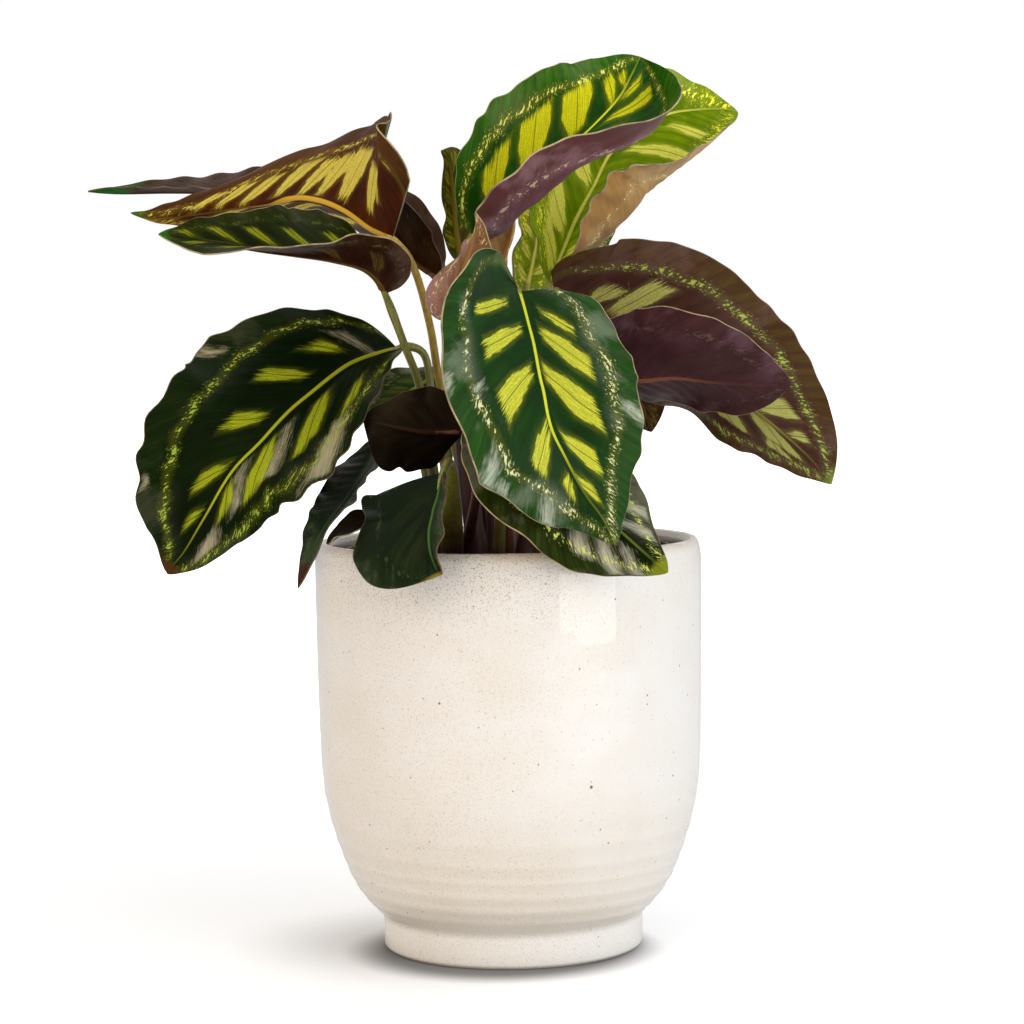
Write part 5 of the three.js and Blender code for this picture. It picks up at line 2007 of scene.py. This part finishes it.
@dataclass
class PottingMix:
    """The potting mix and the crumbs that lie on it."""

    kit: Kit
    node: str = "potting_mix"
    slot: str = "potting_mix"
    crumbs_per_square_metre: float = 160000.0
    surface_from: float = 0.16
    flattest: float = 0.9

    def _surface(self, block: Object) -> Mesh:
        """Copies the upper faces of the CAD mix.

        Args:
            block: The CAD node.

        Returns:
            The faces as a mesh of their own.
        """
        source, matrix = block.data, block.matrix_world
        up = [p for p in source.polygons
              if p.normal.z > self.flattest and (matrix @ p.center).z > self.surface_from]
        used = sorted({v for p in up for v in p.vertices})
        order = {v: k for k, v in enumerate(used)}
        mesh = bpy.data.meshes.new("mix_top")
        mesh.from_pydata([tuple(matrix @ source.vertices[v].co) for v in used], [],
                         [tuple(order[v] for v in p.vertices) for p in up])
        return mesh

    def build(self) -> None:
        """Finishes the CAD mix and scatters crumbs over its upper faces."""
        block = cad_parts[self.node]
        block.data.materials.clear()
        block.data.materials.append(self.kit.material(MixFinish("potting_mix_body")))
        values = {"Material": self.kit.material(MixFinish("potting_mix_crumbs")),
                  "Density": self.crumbs_per_square_metre, "Seed": SEED}
        declare(grown("potting_mix_crumbs", self._surface(block), self.kit.crumbs, values), self.slot)


@dataclass(frozen=True)
class Lamp:
    """Soft rectangular lamp, with places and sizes in metres and power in watts."""

    name: str
    place: Triple
    target: Triple
    size: Pair
    power: float
    tint: Tint = (255, 255, 255)

    def build(self) -> None:
        """Hangs the lamp and turns it to its target."""
        data = bpy.data.lights.new(self.name, "AREA")
        data.shape = "RECTANGLE"
        data.size, data.size_y = self.size
        data.energy = self.power
        data.color = linear(self.tint)[:3]
        lamp = bpy.data.objects.new(self.name, data)
        ahead = (Vector(self.target) - Vector(self.place)).normalized()
        lamp.matrix_world = (Matrix.Translation(self.place)
                             @ ahead.to_track_quat("-Z", "Y").to_matrix().to_4x4())
        bpy.context.scene.collection.objects.link(lamp)


PLANT_MIDDLE = (0.0, 0.0, 0.2)
LAMPS = (
    Lamp("key", (0.763, -0.748, 0.455), (0.0, -0.102, 0.455), (0.66, 0.9), 5.2, (248, 251, 255)),
    Lamp("overhead", (0.1, -0.2, 1.7), PLANT_MIDDLE, (1.6, 1.6), 7.0),
    Lamp("fill", (-1.2, -1.3, 0.8), PLANT_MIDDLE, (1.2, 1.2), 10.0, (255, 225, 178)),
    Lamp("back", (0.3, 1.6, 1.4), PLANT_MIDDLE, (2.0, 1.2), 5.0),
)


@dataclass
class Studio:
    """Pale floor, soft lights and the camera of the picture."""

    eye: Triple = (2.0475, -1300.53, 281.468)
    pitch: float = 0.069
    roll: float = -0.0147
    lens: float = 104.12
    sensor: float = 36.0
    backdrop: Tint = (255, 255, 255)
    backdrop_light: float = 0.62
    floor_reach: float = 9.0
    floor_tint: tuple[float, ...] = (0.84, 0.845, 0.86, 1.0)
    shadow_tint: tuple[float, ...] = (0.24, 0.24, 0.25, 1.0)
    shadow_middle: Triple = (-0.004, -0.012, 0.0)
    shadow_edge: Pair = (0.05, 0.074)

    def _camera(self) -> None:
        """Places the camera where the measured picture was seen from."""
        data = bpy.data.cameras.new("camera")
        data.lens = self.lens
        data.sensor_width = self.sensor
        data.clip_start = 0.05
        data.clip_end = 60.0
        camera = bpy.data.objects.new("camera", data)
        ahead = Vector((0.0, math.cos(self.pitch), -math.sin(self.pitch)))
        right = Vector((1.0, 0.0, 0.0))
        up = right.cross(ahead)
        c, s = math.cos(self.roll), math.sin(self.roll)
        turn = Matrix((c * right + s * up, c * up - s * right, -ahead)).transposed()
        camera.matrix_world = Matrix.Translation(Vector(self.eye) * MM) @ turn.to_4x4()
        bpy.context.scene.collection.objects.link(camera)
        bpy.context.scene.camera = camera

    def _world(self) -> None:
        """Gives a white backdrop and a gentler even light."""
        world = bpy.data.worlds.new("studio")
        world.use_nodes = True
        w = NodeWriter(world.node_tree)
        seen = w.add("ShaderNodeLightPath").outputs["Is Camera Ray"]
        light = w.plus(w.times(seen, 1 - self.backdrop_light), self.backdrop_light)
        w.dress(world.node_tree.nodes["Background"], Color=linear(self.backdrop), Strength=light)
        bpy.context.scene.world = world

    def _floor(self) -> None:
        """Lays the floor, which shines brighter for the camera away from the pot."""
        w = SurfaceWriter("studio_floor")
        seen = w.add("ShaderNodeLightPath").outputs["Is Camera Ray"]
        left, middle, contact = (
            w.vector("DISTANCE", w.place(), centre).outputs["Value"]
            for centre in ((-0.035, 0.0, 0.0), (0.0, 0.0, 0.0), self.shadow_middle))
        # Painted shadow: close round the pot, and further out on its left, the floor glows less for the
        # camera.
        near = w.ease(left, 0.03, 0.1, 0.0, 0.26)
        far = w.ease(middle, 0.2, 0.9, 0.0, 0.7)
        open_air = w.ease(contact, *self.shadow_edge)
        shine = w.times(w.plus(near, far), w.times(seen, open_air))
        w.surface(Emission_Strength=shine, Emission_Color=(1.0, 1.0, 1.0, 1.0),
                  # The colour darkens to the shadow tint round the foot: a painted contact shadow.
                  Base_Color=w.blend(open_air, self.shadow_tint, self.floor_tint),
                  Roughness=0.9, Specular_IOR_Level=0.1)
        mesh = bpy.data.meshes.new("studio_floor")
        far_off = self.floor_reach
        corners = [(x * far_off, y * far_off, 0) for x, y in ((-1, -1), (1, -1), (1, 1), (-1, 1))]
        mesh.from_pydata(corners, [], [(0, 1, 2, 3)])
        mesh.materials.append(w.material)
        floor = bpy.data.objects.new("studio_floor", mesh)
        bpy.context.scene.collection.objects.link(floor)

    def build(self) -> None:
        """Sets up the floor, the light and the camera."""
        self._camera()
        self._world()
        self._floor()
        for lamp in LAMPS:
            lamp.build()
        bpy.context.scene.view_settings.view_transform = "Standard"


def main() -> None:
    """Builds the planter, the nursery pot, the mix, the plant and the studio."""
    logging.basicConfig(level=logging.INFO, format="%(name)s %(message)s")
    kit = Kit()
    Vessel(kit, "thrown_planter", "planter", "glazed_stoneware", GlazeFinish(), PLANTER_STATIONS,
           ridges=PLANTER_RIDGES, unevenness=0.25, rim_band=5.0).build()
    Vessel(kit, "moulded_nursery_pot", "nursery_pot", "black_plastic", PlasticFinish(),
           NURSERY_STATIONS, spacing=3.0, turns=144).build()
    PottingMix(kit).build()
    Foliage(kit).build()
    Studio().build()


if __name__ == "__main__":
    main()
